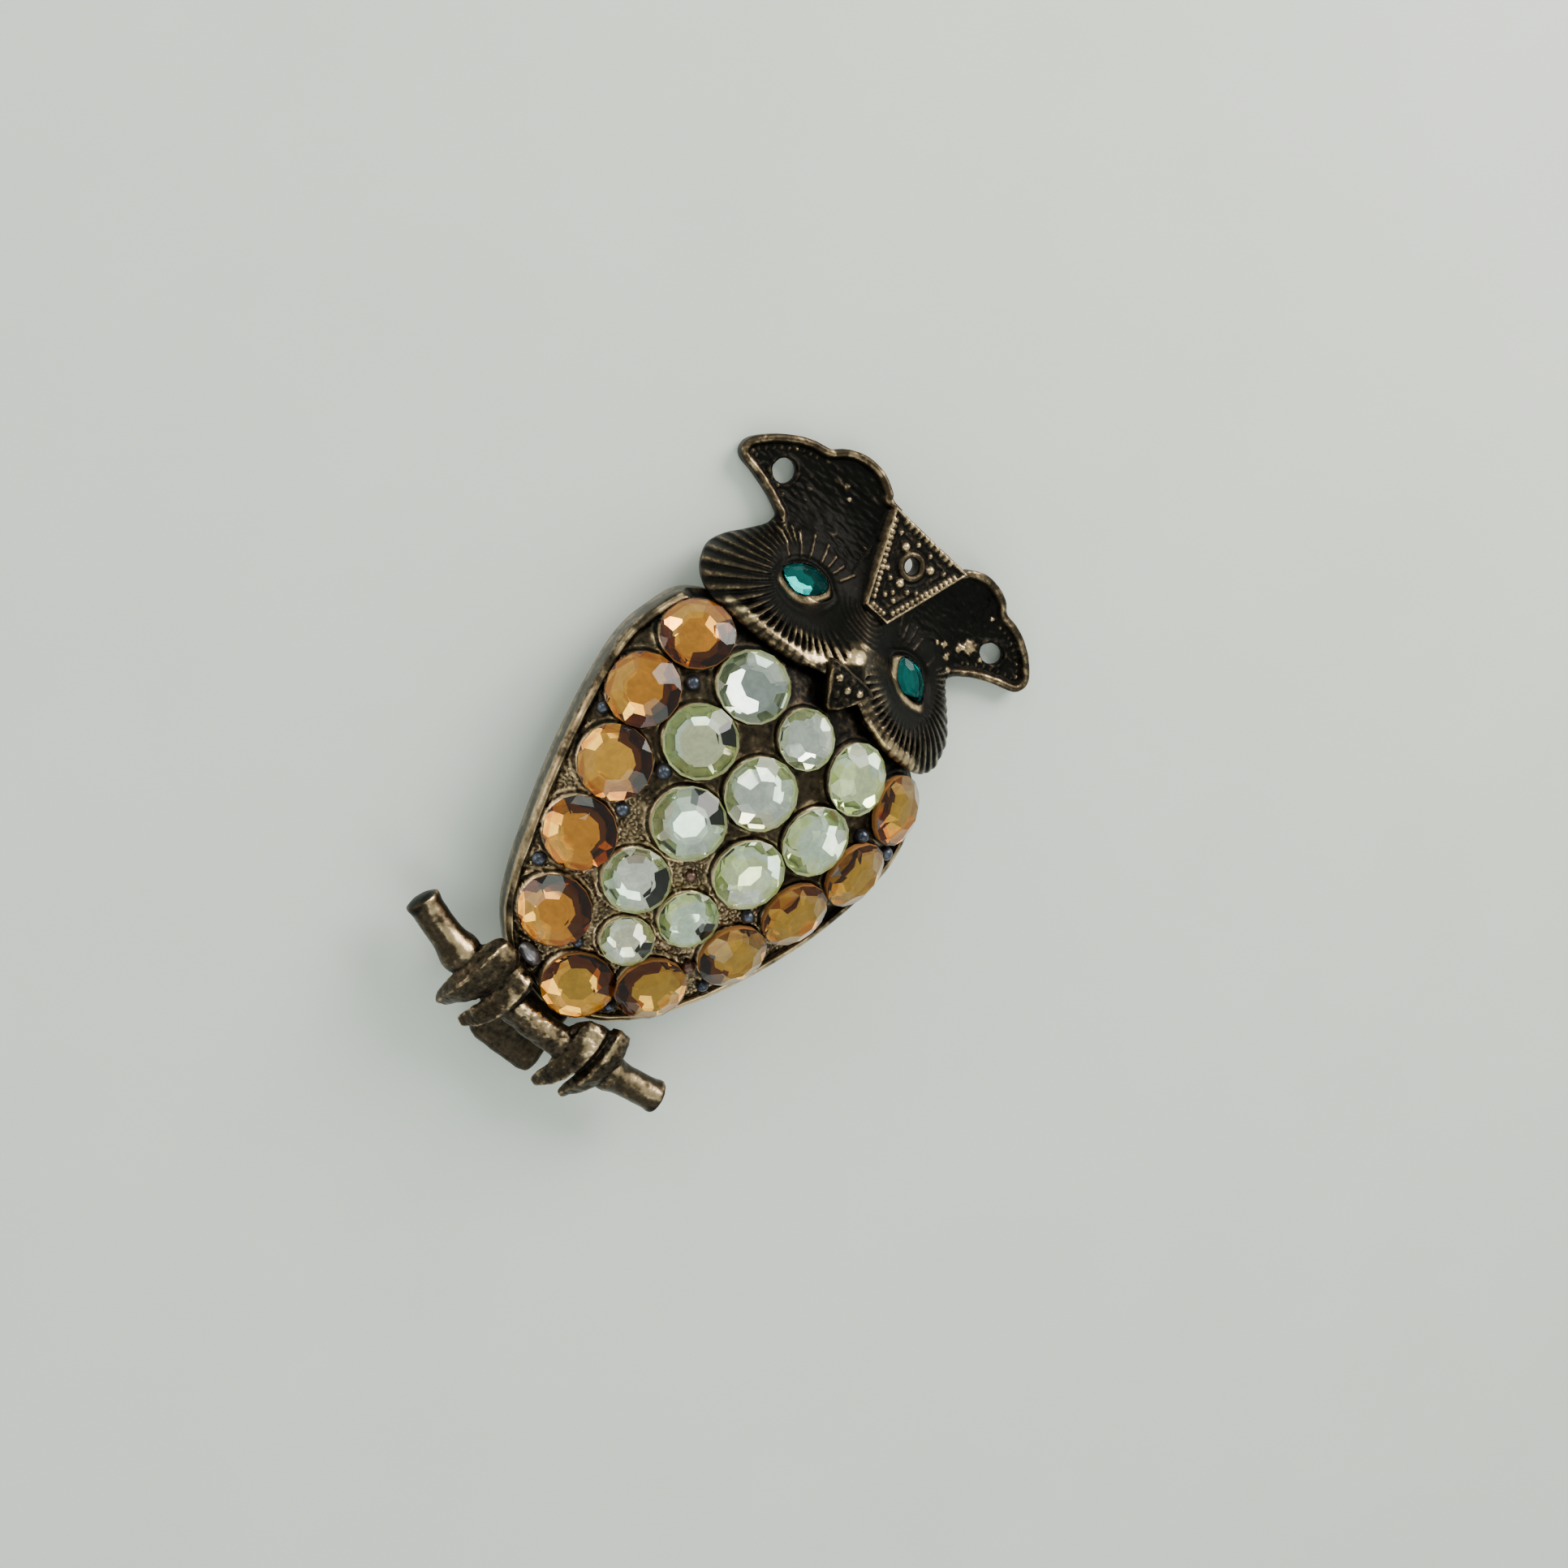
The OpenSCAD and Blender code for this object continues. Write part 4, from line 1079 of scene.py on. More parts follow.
# %% The tail
TAIL_T, TAIL_L, TAIL_ROOT_T = 2.4, 6.6, 2.0
tail_y = np.array([BODY_END - 0.02, BODY_END - 1.5, BODY_END - 3.5, BODY_END - 5.2, BODY_END - TAIL_L + 0.5,
                   BODY_END - TAIL_L + 0.12])
tail_wide = np.array([.80, .84, .92, .98, .93, .70]) * TAIL_W / 2
tail_high = np.array([.83, .88, .95, .98, .80, .35]) * TAIL_T / 2
tail_middle = np.array([TAIL_ROOT_Z + TAIL_ROOT_T / 2, 1.5, 1.35, 1.22, 1.2, 1.2])


def boxed(path, widths, heights, sides, power):
    """Like a swept tube, but with the soft-cornered section of a filed block."""
    a = round_angles(sides)
    c = np.sign(np.cos(a)) * np.abs(np.cos(a)) ** power
    s = np.sign(np.sin(a)) * np.abs(np.sin(a)) ** power
    rings = [np.column_stack([p[0] + c * w, np.full(sides, p[1]), p[2] + s * h])
             for p, w, h in zip(path, widths, heights)]
    # Each face starts one corner further on than a tube's, which turns its diagonal the other way
    return np.vstack(rings), [f[1:] + f[:1] for f in tube_faces(len(rings), sides)]


tail_rows = smooth_rows(np.column_stack([tail_y, tail_wide, tail_high, tail_middle]), 8)
tail_path = np.column_stack([np.full(len(tail_rows), TAIL_X), tail_rows[:, 0], tail_rows[:, 3]])
tail_corners, tail_faces = boxed(tail_path, tail_rows[:, 1], tail_rows[:, 2], 44, 0.42)
tail_corners, tail_faces = fused("tail_raw", [(tail_corners, tail_faces)], 0.14, 2)
lumps = 0.04 * rough(tail_corners, 0.9, 4)
tail_corners = tail_corners + normals_of(tail_corners, tail_faces) * lumps[:, None]
tail_corners[:, 1] = np.minimum(tail_corners[:, 1], BODY_END)
tail = piece("tail_block", tail_corners, tail_faces, [cast_bronze], ["tail"])
surface_tone = 0.27 + 2.0 * np.clip(standing_out(tail, tail_faces, 8), -0.1, 0.12)
paint(tail, "wear_and_painted_light", surface_tone + 0.12 * rough(tail_corners, 1.5, 3))
print("tail corners:", len(tail_corners))

# %% [markdown]
# ## The head
# The mask is one thin casting, pressed up in the middle: a beak, two eye discs with ribs like feathers,
# two ears with a polished edge and a hole each, and a flat crest plate set with tiny beads. It is made
# as a second height field. Each feature is one small rise or hollow, added to the smooth face.

# %% The smooth face under the relief
HEAD_W, HEAD_L, HEAD_Y, EAR_Z = 34.4, 20.5, 8.5, 1.5
HEAD_RISE, HEAD_T, EAR_SKEW = 10.0, 0.9, 0.9
# Share of the half width, share of the field's length
HEAD_ROWS = np.array([
    (0, .137), (.140, .122), (.262, .083), (.430, .061), (.605, .068), (.727, .090), (.808, .141),
    (.849, .220), (.837, .293), (.791, .361), (.715, .434), (.645, .517), (.692, .580), (.773, .615),
    (.878, .644), (.983, .668), (1, .727), (.924, .800), (.831, .854), (.744, .883), (.651, .898),
    (.587, .941), (.494, .963), (.390, .956), (.308, .922), (.256, .893), (0, .888)])
# Share of the rise, row by row from the chin to the crest, from the middle line outwards
RELIEF = np.array([
    (.98, .93, .88, .79, .52, .16), (1.00, .95, .89, .76, .46, .06), (.98, .75, .66, .62, .36, .02),
    (.74, .46, .38, .38, .16, 0), (.42, .34, .30, .17, .03, 0), (.34, .25, .18, .06, 0, 0),
    (.30, .22, .10, .02, .01, 0), (.28, .23, .14, .04, .01, 0), (.28, .23, .16, .06, .01, 0)])


def head_skew(x):
    return EAR_SKEW * np.maximum(0, np.abs(x) / (HEAD_W / 2) - 0.5) * 2 * np.sign(x)


def head_face(x, y):
    """Height of the head's smooth face over a place on the table."""
    along = (y - head_skew(x) - HEAD_Y) / HEAD_L * 8
    across = np.abs(x) / (HEAD_W / 2) * 5
    i, j = np.floor(along).astype(int), np.floor(across).astype(int)

    def station(row):
        row = np.clip(row, 0, 8)
        return curve(*(RELIEF[row, np.minimum(np.abs(j + k), 5)] for k in (-1, 0, 1, 2)), across - j)

    return EAR_Z + HEAD_RISE * curve(*(station(i + k) for k in (-1, 0, 1, 2)), along - i)


def head_side(sign):
    x = sign * HEAD_ROWS[:, 0] * HEAD_W / 2
    return np.column_stack([x, HEAD_Y + HEAD_L * HEAD_ROWS[:, 1] + head_skew(x)])


print("height at the middle of the face:", round(float(head_face(np.zeros(1), np.full(1, 16.0))[0]), 2))

# %% The head's outline, and its holes
rows = np.vstack([head_side(1), head_side(-1)[1:-1][::-1]])
head_outline = spaced(smooth_rows(rows, 6, closed=True), 0.15)
swell = 0.25 * smoothstep(19.6, 20.6, head_outline[:, 1] - head_skew(head_outline[:, 0]))
head_outline = inward(head_outline, -swell[:, None])


def oval_loop(middle, width, height, turn=0.0, sides=44):
    a = round_angles(sides)
    c, s = math.cos(turn), math.sin(turn)
    u, v = width / 2 * np.cos(a), height / 2 * np.sin(a)
    return np.column_stack([middle[0] + c * u - s * v, middle[1] + s * u + c * v])


EAR_HOLES = [oval_loop((-13.15, 22.75), 2.2, 2.2), oval_loop((12.9, 23.95), 2.5, 1.9, 0.3)]
RING_AT = np.array([0.0, 23.77])
CREST_HOLE = oval_loop(RING_AT, 1.5, 1.5)
CREST = np.array([(1.35, 18.42), (4.75, 26.85), (-4.6, 26.7), (-1.4, 18.42)])
print("points of the head's outline:", len(head_outline))

# %% Where the eyes sit
EYE_AT, EYE_LIFT, EYE_LEAN, EYE_TURN = (6.742, 16.495), 0.30, math.radians(12), math.radians(23)
EYE_L, EYE_W = 4.4, 2.6


def eye_frame(sign):
    """Middle of an eye, and its long, short and outward directions."""
    c, s = math.cos(EYE_LEAN), math.sin(EYE_LEAN)
    about_x = np.array([[1, 0, 0], [0, c, s], [0, -s, c]])
    about_y = np.array([[c, 0, sign * s], [0, 1, 0], [-sign * s, 0, c]])
    a = -sign * EYE_TURN
    about_z = np.array([[math.cos(a), -math.sin(a), 0], [math.sin(a), math.cos(a), 0], [0, 0, 1]])
    middle = np.array([sign * EYE_AT[0], EYE_AT[1], 0.0])
    middle[2] = head_face(middle[:1], middle[1:2])[0] + EYE_LIFT
    return middle, *(about_y @ about_x @ about_z).T


print("middle of an eye:", np.round(eye_frame(1)[0], 2))

# %% Small shapes of relief


def round_top(x, at, half):
    """The rise of half a circle over one place."""
    return np.sqrt(np.clip(1 - ((x - at) / half) ** 2, 0, 1))


def falling(x, wide):
    """1 at an edge, and down to 0 a little way in."""
    return np.clip(1 - x / wide, 0, 1) ** 2


def line_hump(flat, start, end, half):
    """1 on a line, fading out at half its width."""
    start, end = np.asarray(start, float), np.asarray(end, float)
    way = end - start
    t = np.clip(((flat - start) @ way) / (way @ way), 0, 1)
    away = np.linalg.norm(flat - start - t[:, None] * way, axis=1) / half
    return np.clip(1 - away ** 2, 0, 1)


def dot_hump(flat, spots, radius):
    """Small domes of one radius at several places."""
    rise = np.zeros(len(flat))
    for spot in spots:
        rise = np.maximum(rise, round_top(np.linalg.norm(flat - spot, axis=1), 0, radius))
    return rise


def along_line(start, end, gap):
    """Places at even gaps along a line."""
    start, end = np.asarray(start, float), np.asarray(end, float)
    length = np.linalg.norm(end - start)
    return [start + (end - start) * gap * (k + 0.5) / length for k in range(int(length / gap))]


print("dots along a line of 4 mm:", len(along_line((0, 0), (4, 0), 0.5)))

# %% The ribbed discs round the eyes
RIB_TURN = math.radians(7.3)


def turn_step(low, high, turn):
    """A smooth step between two angles in degrees."""
    return smoothstep(math.radians(low), math.radians(high), turn)


def disc_part(flat, edge):
    """Ribs round the eyes, with teeth and pits along the lower edge."""
    rise, shine = np.zeros(len(flat)), np.zeros(len(flat))
    rubbed = 0.38 + 0.2 * rough(flat, 0.7, 3, 14.0)
    for sign in (-1, 1):
        dx, dy = sign * (flat[:, 0] - sign * EYE_AT[0]), flat[:, 1] - EYE_AT[1]
        turn, reach = np.arctan2(dy, dx), np.hypot(dx, dy * 1.15)
        turn = np.where(turn > math.radians(100), turn - 2 * math.pi, turn)
        low = turn_step(-40, -62, turn)
        field = turn_step(58, 50, turn) * turn_step(-166, -156, turn) * smoothstep(10.5, 9.0, reach)
        field = field * smoothstep(2.7 + 0.9 * low, 3.9 + 0.9 * low, reach)
        field = field * (sign * flat[:, 0] > 1.2) * (flat[:, 1] < 19.6)
        wave = np.cos(turn * 2 * math.pi / RIB_TURN)
        ridge = np.sqrt(np.clip(0.5 + 0.62 * wave, 0, 1)) - 0.6
        band = 1 - low * smoothstep(1.45, 1.15, edge)
        pit = low * hump(edge, 1.85, 0.45) * smoothstep(0.35, -0.4, wave)
        rise += field * (0.30 * ridge * band - 0.52 * pit)
        outer = (0.34 + 0.25 * turn_step(5, 40, turn)) * smoothstep(4.4, 0.8, edge)
        shine += field * band * smoothstep(0.3, 0.95, wave) * (0.08 + outer) * (1 - 0.6 * low)
        shine += field * low * (1 - band) * rubbed
        shine -= 0.5 * field * (pit + smoothstep(-0.3, -0.9, wave) * 0.5)
    return rise, shine


print("ribs to a full turn:", round(2 * math.pi / RIB_TURN, 1))

# %% The settings of the eyes
LID_POWER = 1.75


def eye_part(flat, face):
    """The oval setting, its lower lid, and the pocket that holds the stone."""
    height, shine = face.copy(), np.zeros(len(flat))
    for sign in (-1, 1):
        middle, long, short, out = eye_frame(sign)
        away = flat - middle[:2]
        plane = middle[2] - (away @ out[:2]) / out[2]
        spot = np.column_stack([away, plane - middle[2]])
        u, v = spot @ long, spot @ short
        along, over = np.abs(u) / (EYE_L / 2 + 0.05), np.abs(v) / (EYE_W / 2 + 0.02)
        share = (along ** LID_POWER + over ** LID_POWER) ** (1 / LID_POWER)
        out_by = (share - 1) * np.hypot(u, v) / np.maximum(share, 0.2)
        lid = smoothstep(0.3, -0.9, v)
        wide = 0.34 + 0.50 * lid
        crest = plane + 0.10 - 0.42 * np.clip(out_by / wide, 0, 1.6) ** 2
        skirt = smoothstep(wide * 1.75, wide * 0.95, out_by)
        raised = height + (np.maximum(crest, height - 0.1) - height) * skirt
        groove = hump(out_by, wide * 1.75, 0.16)
        height = np.where(out_by > 0, raised, plane - 0.56) - 0.10 * groove * (out_by > 0)
        shine += np.where(out_by > 0, hump(out_by, 0.5 * wide, 0.42 * wide) * (0.08 + 0.95 * lid), -0.5)
        shine -= 0.2 * groove
    return height, shine


print("eye stones, long and wide:", EYE_L, EYE_W)

# %% The crest plate
PLATE_Z, PLATE_FALL, PLATE_Y = 6.2, 0.1625, 18.75


def crest_part(flat, height):
    """The flat plate between the ears: ridges along its border, a ring round the hole, and beads."""
    within = inside(flat, CREST)
    border = edge_distance(flat, CREST)
    plate = PLATE_Z - PLATE_FALL * (flat[:, 1] - PLATE_Y)
    away = np.linalg.norm(flat - RING_AT, axis=1)
    rise = 0.16 * hump(border, 0.17, 0.13) - 0.10 * smoothstep(0.25, 0.5, border)
    rise += 0.10 * hump(border, 1.28, 0.08) * (away > 2.2)
    rise += 0.30 * round_top(away, 1.05, 0.34) - 0.08 * hump(away, 1.5, 0.12)
    small = along_line((1.05, 19.3), (4.05, 26.4), 0.52) + along_line((-1.05, 19.3), (-3.95, 26.3), 0.52)
    small += along_line((-3.2, 26.3), (3.4, 26.4), 0.62) + along_line((-1.0, 18.98), (1.0, 18.98), 0.42)
    small += [(-0.45, 20.3), (0.5, 20.4), (-1.75, 22.2), (1.8, 22.3), (-2.7, 25.3), (2.8, 25.3), (-1.0, 21.7),
              (1.05, 21.8), (0.0, 20.9), (-0.7, 25.6), (0.8, 25.6)]
    large = [RING_AT + 1.80 * np.array([math.cos(t), math.sin(t)]) for t in np.radians([30, 150, 270])]
    beads = np.maximum(0.25 * dot_hump(flat, small, 0.29), 0.42 * dot_hump(flat, large, 0.46))
    rise = rise + beads + 0.03 * rough(flat, 0.3, 2, 3.0)
    shine = 0.46 * hump(border, 0.17, 0.14) + 1.9 * beads + 0.06
    shine += 0.22 * hump(away, 1.05, 0.2) + 0.10 * rough(flat, 0.8, 3, 13.0)
    return np.where(within, plate + rise, height), np.where(within, shine, 0.0), within


print("crest plate's height at its hole:", round(PLATE_Z - PLATE_FALL * (RING_AT[1] - PLATE_Y), 2))

# %% Ears, brow and nose
BROW_LINES = [((-9.1, 19.7), (-8.0, 17.9)), ((-7.9, 20.3), (-7.3, 18.2)), ((-6.5, 20.4), (-6.3, 18.5)),
              ((-5.4, 20.1), (-5.6, 18.8)), ((-4.4, 19.9), (-4.9, 18.7)), ((-3.2, 19.9), (-4.0, 18.6)),
              ((-10.6, 19.0), (-8.9, 17.2)), ((2.4, 20.6), (3.4, 18.8)), ((3.5, 20.9), (3.9, 18.8)),
              ((4.7, 20.6), (4.6, 18.9)), ((5.7, 20.2), (5.4, 18.7)), ((7.9, 20.0), (7.5, 18.6))]
# Painted glints: small bumps with bright patches, mostly on the right ear, where the light catches them
PAINTED_GLINTS = [((10.7, 22.9), 0.85), ((9.9, 22.2), 0.5), ((9.15, 20.7), 0.42), ((12.4, 22.75), 0.32),
              ((10.6, 26.2), 0.26), ((-8.2, 25.5), 0.3), ((-7.3, 24.7), 0.22), ((10.0, 19.9), 0.35),
              ((8.2, 21.3), 0.4), ((7.4, 21.0), 0.3)]
# Start and end of each rubbed line, its half width and its strength
WORN_LINES = [((-3.4, 11.9), (-0.4, 14.1), 0.75, 1.0), ((-0.4, 14.4), (4.6, 13.2), 1.2, 0.55),
              ((-5.9, 12.3), (-3.2, 13.0), 0.45, 0.5), ((-0.5, 15.2), (3.3, 15.9), 0.3, 0.5),
              ((-11.6, 10.6), (-3.4, 11.2), 0.45, 0.45), ((7.0, 10.4), (11.8, 10.7), 0.7, 0.5),
              ((4.2, 10.6), (6.6, 10.1), 0.3, 0.7), ((1.2, 15.0), (3.9, 15.4), 0.25, 0.35)]


def ear_part(flat, edge, ear, lump):
    """A polished rim, a sunk field with fine strokes, dots along the rim, and a collar round each hole."""
    rim = round_top(edge, 0.34, 0.42) * ear
    strokes = rough(flat * (0.35, 1.0) + 5.0, 0.40, 2, 2.0)
    rim_dots = [p for p in inward(head_outline, 1.15)[::5] if abs(p[0]) > 10.5 and p[1] > 21]
    dots = dot_hump(flat, rim_dots, 0.2) * ear
    sunk = 0.22 * smoothstep(0.6, 1.0, edge) - 0.16 * strokes * smoothstep(0.8, 1.2, edge)
    rise = 0.42 * rim - ear * sunk
    rise += 0.14 * dots
    shine = 0.44 * rim * (0.8 + 0.5 * lump) + 0.34 * dots - 0.16 * ear * smoothstep(0.8, 1.3, edge)
    shine += 0.55 * ear * np.clip(strokes - 0.12, 0, 1) * (0.6 + 0.8 * lump)
    for hole in EAR_HOLES:
        ring = edge_distance(flat, hole)
        rise += 0.12 * hump(ring, 0.22, 0.16)
        shine += 0.15 * hump(ring, 0.2, 0.16)
    return rise, shine


def marks_part(flat):
    """Scored lines on the brow, painted glints on small bumps, the nose's cross ridges, and lines rubbed
    bright.
    """
    rise, shine = np.zeros(len(flat)), np.zeros(len(flat))
    for start, end in BROW_LINES:
        line = line_hump(flat, start, end, 0.17)
        rise += 0.10 * line
        shine += (0.42 if start[0] < 0 else 0.26) * line
    for spot, size in PAINTED_GLINTS:
        away = np.linalg.norm(flat - spot, axis=1) / size
        patch = np.clip(1.15 - away ** 2 + 0.5 * rough(flat, 0.5, 2, 9.0), 0, 1)
        rise += 0.16 * patch
        shine += 0.9 * patch
    x, y = flat.T
    bridge = smoothstep(2.4, 1.6, np.abs(x + 0.6)) * smoothstep(18.4, 17.9, y) * smoothstep(14.9, 15.5, y)
    wave = np.cos(np.hypot(x + 0.4, y - 19.0) * 2 * math.pi / 0.45)
    rise += 0.09 * bridge * wave
    shine += 0.16 * bridge * np.clip(wave, 0, 1)
    surface_tone = sum(share * line_hump(flat, start, end, half) for start, end, half, share in WORN_LINES)
    rise += 0.14 * np.clip(surface_tone, 0, 1)
    shine += 0.95 * surface_tone * (0.75 + 0.5 * rough(flat, 0.6, 3, 4.0))
    return rise, shine


print("lines and spots:", len(BROW_LINES) + len(PAINTED_GLINTS) + len(WORN_LINES))

# %% The whole relief of the head


def rolled(flat, edge):
    """How far the cheek's edge rolls under, from 0 to 1."""
    level = flat[:, 1] - head_skew(flat[:, 0])
    return smoothstep(12.2, 14.0, flat[:, 1]) * smoothstep(19.9, 19.0, level) * falling(edge, 1.7)


def head_relief(flat):
    """Height of the head's finished face, and how bright each place is: rubbed bright on the high places,
    with painted glints on a few bumps.
    """
    x, y = flat.T
    edge = edge_distance(flat, head_outline)
    ear = smoothstep(19.4, 20.6, y - head_skew(x)) * (np.abs(x) > 3.5)
    face = head_face(x, y) - rolled(flat, edge) - 0.32 * (1 - ear) * falling(edge, 0.55)
    lump = rough(flat, 1.3, 3, 1.0)
    disc_rise, disc_shine = disc_part(flat, edge)
    ear_rise, ear_shine = ear_part(flat, edge, ear, lump)
    mark_rise, mark_shine = marks_part(flat)
    around_eyes = smoothstep(6.0, 3.5, np.hypot(np.abs(x) - 6.7, y - 17))
    shine = disc_shine + ear_shine + mark_shine - 0.16 * (1 - ear) * around_eyes
    grain = 0.035 * rough(flat, 0.45, 3, 6.0) + 0.03 * lump
    height, at_eyes = eye_part(flat, face + disc_rise + ear_rise + mark_rise + grain)
    height, on_plate, within = crest_part(flat, height)
    return height, np.where(within, on_plate, shine * (1 - 0.6 * (at_eyes < -0.3)) + at_eyes)


print("height of the beak's root:", round(float(head_face(np.array([0.0]), np.array([12.3]))[0]), 2))

# %% Points of the head, denser along every sharp step
HOLES = [*EAR_HOLES, CREST_HOLE]
head_loops = [head_outline] + [hole[::-1] for hole in HOLES]
near_edge = [inward(head_outline, d) for d in (0.07, 0.16, 0.28, 0.42, 0.56, 0.70, 0.86)]
crest_loop = spaced(CREST, 0.14)
near_edge += [inward(crest_loop, d) for d in (-0.05, 0.05, 0.17, 0.32)]
near_edge += [inward(hole, d) for hole in HOLES for d in (-0.1, -0.22, -0.36)]
for sign in (-1, 1):
    middle, long, short, out = eye_frame(sign)
    turn = math.atan2(long[1], long[0])
    near_edge += [oval_loop(middle[:2], EYE_L + 2 * d, EYE_W + 2 * d, turn, 110) for d in (-0.05, 0.07)]
HEAD_LOW, HEAD_HIGH = (-18, 8.5), (18, 28.7)
grid = scattered(HEAD_LOW, HEAD_HIGH, 0.135, head_outline, 0.94, HOLES, 0.44)
grid = grid[edge_distance(grid, crest_loop) > 0.10]
extra = np.vstack(near_edge)
clear = inside(extra, head_outline) & (edge_distance(extra, head_outline) > 0.05)
for hole in HOLES:
    clear &= ~inside(extra, hole) & (edge_distance(extra, hole) > 0.06)
under = scattered(HEAD_LOW, HEAD_HIGH, 0.55, head_outline, 0.3, HOLES, 0.25)


def head_low(flat):
    roll = rolled(flat, edge_distance(flat, head_outline))
    return head_face(*flat.T) - HEAD_T - 0.95 * roll


shines = {}


def head_top(flat):
    height, shines["head"] = head_relief(flat)
    return height


head_points = np.vstack([grid, extra[clear]])
head_corners, head_faces, head_count = closed_sheet(head_loops, head_points, under, head_top, head_low)
print("head corners:", len(head_corners), "faces:", len(head_faces))

# %% Beak and legs
BEAK_Y = 12.29
BEAK_Z = float(head_face(np.array([0.0]), np.array([BEAK_Y]))[0])
BEAK_HALF = [(0.75, 9.45), (1.50, 10.55), (2.25, 11.75), (2.52, 12.45), (1.5, 12.75)]
BEAK_ROWS = [(0.0, 8.90), *BEAK_HALF, (0.0, 12.78), *[(-x, y) for x, y in BEAK_HALF[::-1]]]
BEAK_BUMPS = [(-1.1, 11.6), (0.1, 11.2), (1.2, 11.7), (-0.4, 10.3), (0.7, 10.4), (0.0, 12.1), (-1.7, 12.0),
              (0.1, 9.6)]
beak_outline = spaced(smooth_rows(BEAK_ROWS, 6, closed=True), 0.14)


def beak_top(flat):
    """Rounded across and along, with a rim and a few soft bumps."""
    edge = edge_distance(flat, beak_outline)
    along = smoothstep(8.4, 10.8, flat[:, 1]) * smoothstep(13.4, 11.4, flat[:, 1])
    swollen = 0.27 + 0.55 * (1 - (flat[:, 0] / 2.6) ** 2) * along
    rim = 0.12 * hump(edge, 0.2, 0.14) - 0.45 * falling(edge, 0.22)
    return BEAK_Z + swollen + rim + 0.24 * dot_hump(flat, BEAK_BUMPS, 0.36) + 0.06 * rough(flat, 0.4, 2, 8.0)


beak_grid = scattered((-3, 8.5), (3, 13), 0.13, beak_outline, 0.07)
beak_corners, beak_faces, beak_count = closed_sheet([beak_outline], beak_grid, beak_grid[::9], beak_top,
                                                    lambda flat: np.full(len(flat), BEAK_Z - 0.46))


def head_leg(x):
    top = float(head_face(np.array([x]), np.array([LEG_Y]))[0]) - HEAD_T / 2
    return lathe((x, LEG_Y), [(LEG_R - 0.06, LEG_FOOT), (LEG_R, LEG_FOOT + 0.08), (LEG_R, top)], 24)


print("beak corners:", len(beak_corners))

# %% The mask, where it is worn, and its painted glints
owl_corners, owl_faces = gather([(head_corners, head_faces), (beak_corners, beak_faces), head_leg(-LEG_X),
                                 head_leg(LEG_X)])
mask = piece("owl_mask", owl_corners, owl_faces, [cast_bronze], ["head"])
surface_tone = 0.06 + 2.0 * np.clip(standing_out(mask, owl_faces, 5), -0.10, 0.10) + 0.08 * rough(owl_corners, 1.2, 3)
surface_tone[:head_count] += shines["head"]
on_beak = slice(len(head_corners), len(head_corners) + beak_count)
beak_flat = owl_corners[on_beak][:, :2]
beak_rim = hump(edge_distance(beak_flat, beak_outline), 0.2, 0.15) * (beak_flat[:, 1] < 12)
surface_tone[on_beak] += 0.04 + 0.50 * (dot_hump(beak_flat, BEAK_BUMPS[:3], 0.30) > 0.2) + 0.32 * beak_rim
paint(mask, "wear_and_painted_light", surface_tone)
print("mask corners:", len(owl_corners))

# %% [markdown]
# ## Eyes
# Each eye is a pointed oval of teal glass, cut like the round stones and foiled behind. It stands in
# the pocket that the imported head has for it, leaning outwards as the pocket does.

# %% Two navettes


def navette(sign, word, look):
    middle, long, short, out = eye_frame(sign)

    def ring(count, share, height, half=0.0):
        a = 2 * math.pi * (np.arange(count) + half) / count
        u = EYE_L / 2 * share * np.cos(a)
        v = EYE_W / 2 * share * np.sin(a) * (1 - 0.14 * np.cos(a) ** 2)
        return middle + np.outer(u, long) + np.outer(v, short) + height * out

    points = np.vstack([ring(8, 0.52, 0.75, 0.3), ring(8, 0.82, 0.42, 0.3), ring(16, 1, 0.10, 0.5),
                        ring(16, 1, -0.10, 0.5), ring(16, 0.88, -0.50, 0.5), ring(8, 0.46, -0.50, 0.25)])
    foiled(f"teal_eye_{word}", points, "teal", look, f"eye_{word}")


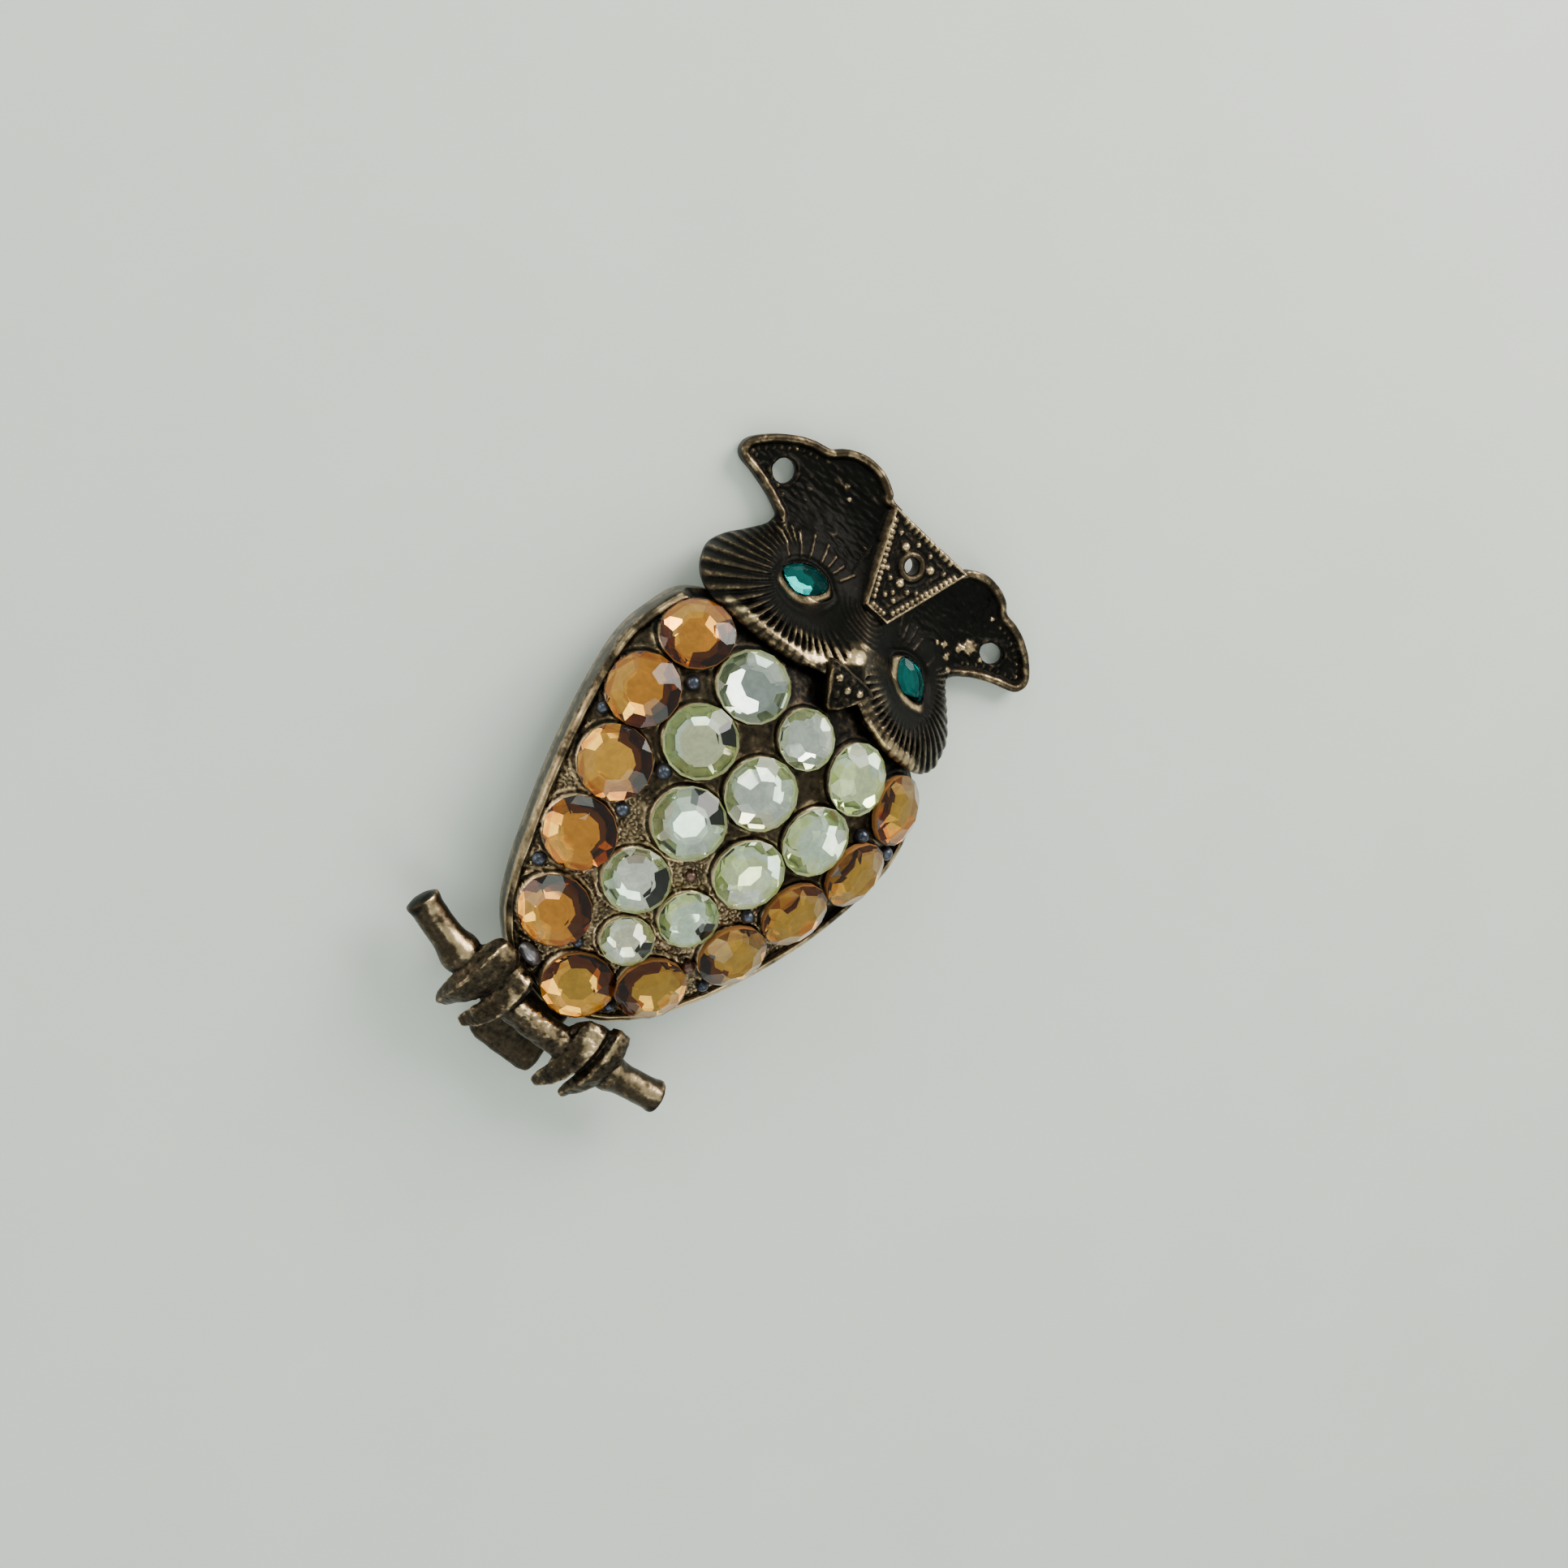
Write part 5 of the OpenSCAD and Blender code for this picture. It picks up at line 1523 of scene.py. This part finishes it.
# The deep teal sector of each eye's foil is a painted dark reflection
navette(-1, "left", ("teal", [(-80, 90, "deep")]))
navette(1, "right", ("teal", [(-60, 70, "deep")]))
print("eyes lean out by degrees:", round(math.degrees(EYE_LEAN), 1))

# %% [markdown]
# ## The pin behind
# The back of the jewel does not show, so the pin stays plain: a flat strip, a hinge block, a catch
# and a closed stem. It is cast in one, so its edges are soft and its faces slightly uneven.

# %% Strip, blocks and stem


def block(low, high):
    x, y, z = zip(low, high)
    points = np.array([(x[i], y[j], z[k]) for k in (0, 1) for j in (0, 1) for i in (0, 1)], float)
    return points, [[0, 2, 3, 1], [4, 5, 7, 6], [0, 1, 5, 4], [2, 6, 7, 3], [0, 4, 6, 2], [1, 3, 7, 5]]


STEM_Z, BLOCK_L, BLOCK_W = PIN_Z * 0.42, PIN_W * 0.5, PIN_W * 0.6
pin_parts = [block((-PIN_L / 2, PIN_Y - PIN_W / 2, PIN_Z), (PIN_L / 2, PIN_Y + PIN_W / 2, PIN_Z + PIN_T))]
for sign in (-1, 1):
    x = sign * (PIN_L - BLOCK_L) / 2
    pin_parts.append(block((x - BLOCK_L / 2, PIN_Y - BLOCK_W / 2, 0),
                           (x + BLOCK_L / 2, PIN_Y + BLOCK_W / 2, PIN_Z + PIN_T / 2)))
stem = np.linspace(-1, 1, 60) * (PIN_L - BLOCK_L) / 2
even = np.ones(len(stem))
stem_path = np.column_stack([stem, PIN_Y * even, STEM_Z * even])
pin_parts.append(swept(stem_path, (0, 1, 0), STEM_D / 2 * even, STEM_D / 2 * even, 24))
pin_corners, pin_faces = fused("pin_raw", pin_parts, 0.13, 2)
lumps = 0.02 * rough(pin_corners, 1.2, 3)
pin_corners = pin_corners + normals_of(pin_corners, pin_faces) * lumps[:, None]
pin_corners[:, 2] = np.clip(pin_corners[:, 2], 0, PIN_Z + PIN_T)
pin = piece("pin_and_catch", pin_corners, pin_faces, [pin_brass], ["pin_back"])
surface_tone = 0.42 + 2.2 * np.clip(standing_out(pin, pin_faces, 8), -0.1, 0.12)
paint(pin, "wear_and_painted_light", surface_tone + 0.16 * rough(pin_corners, 2.0, 3))
print("pin corners:", len(pin_corners))
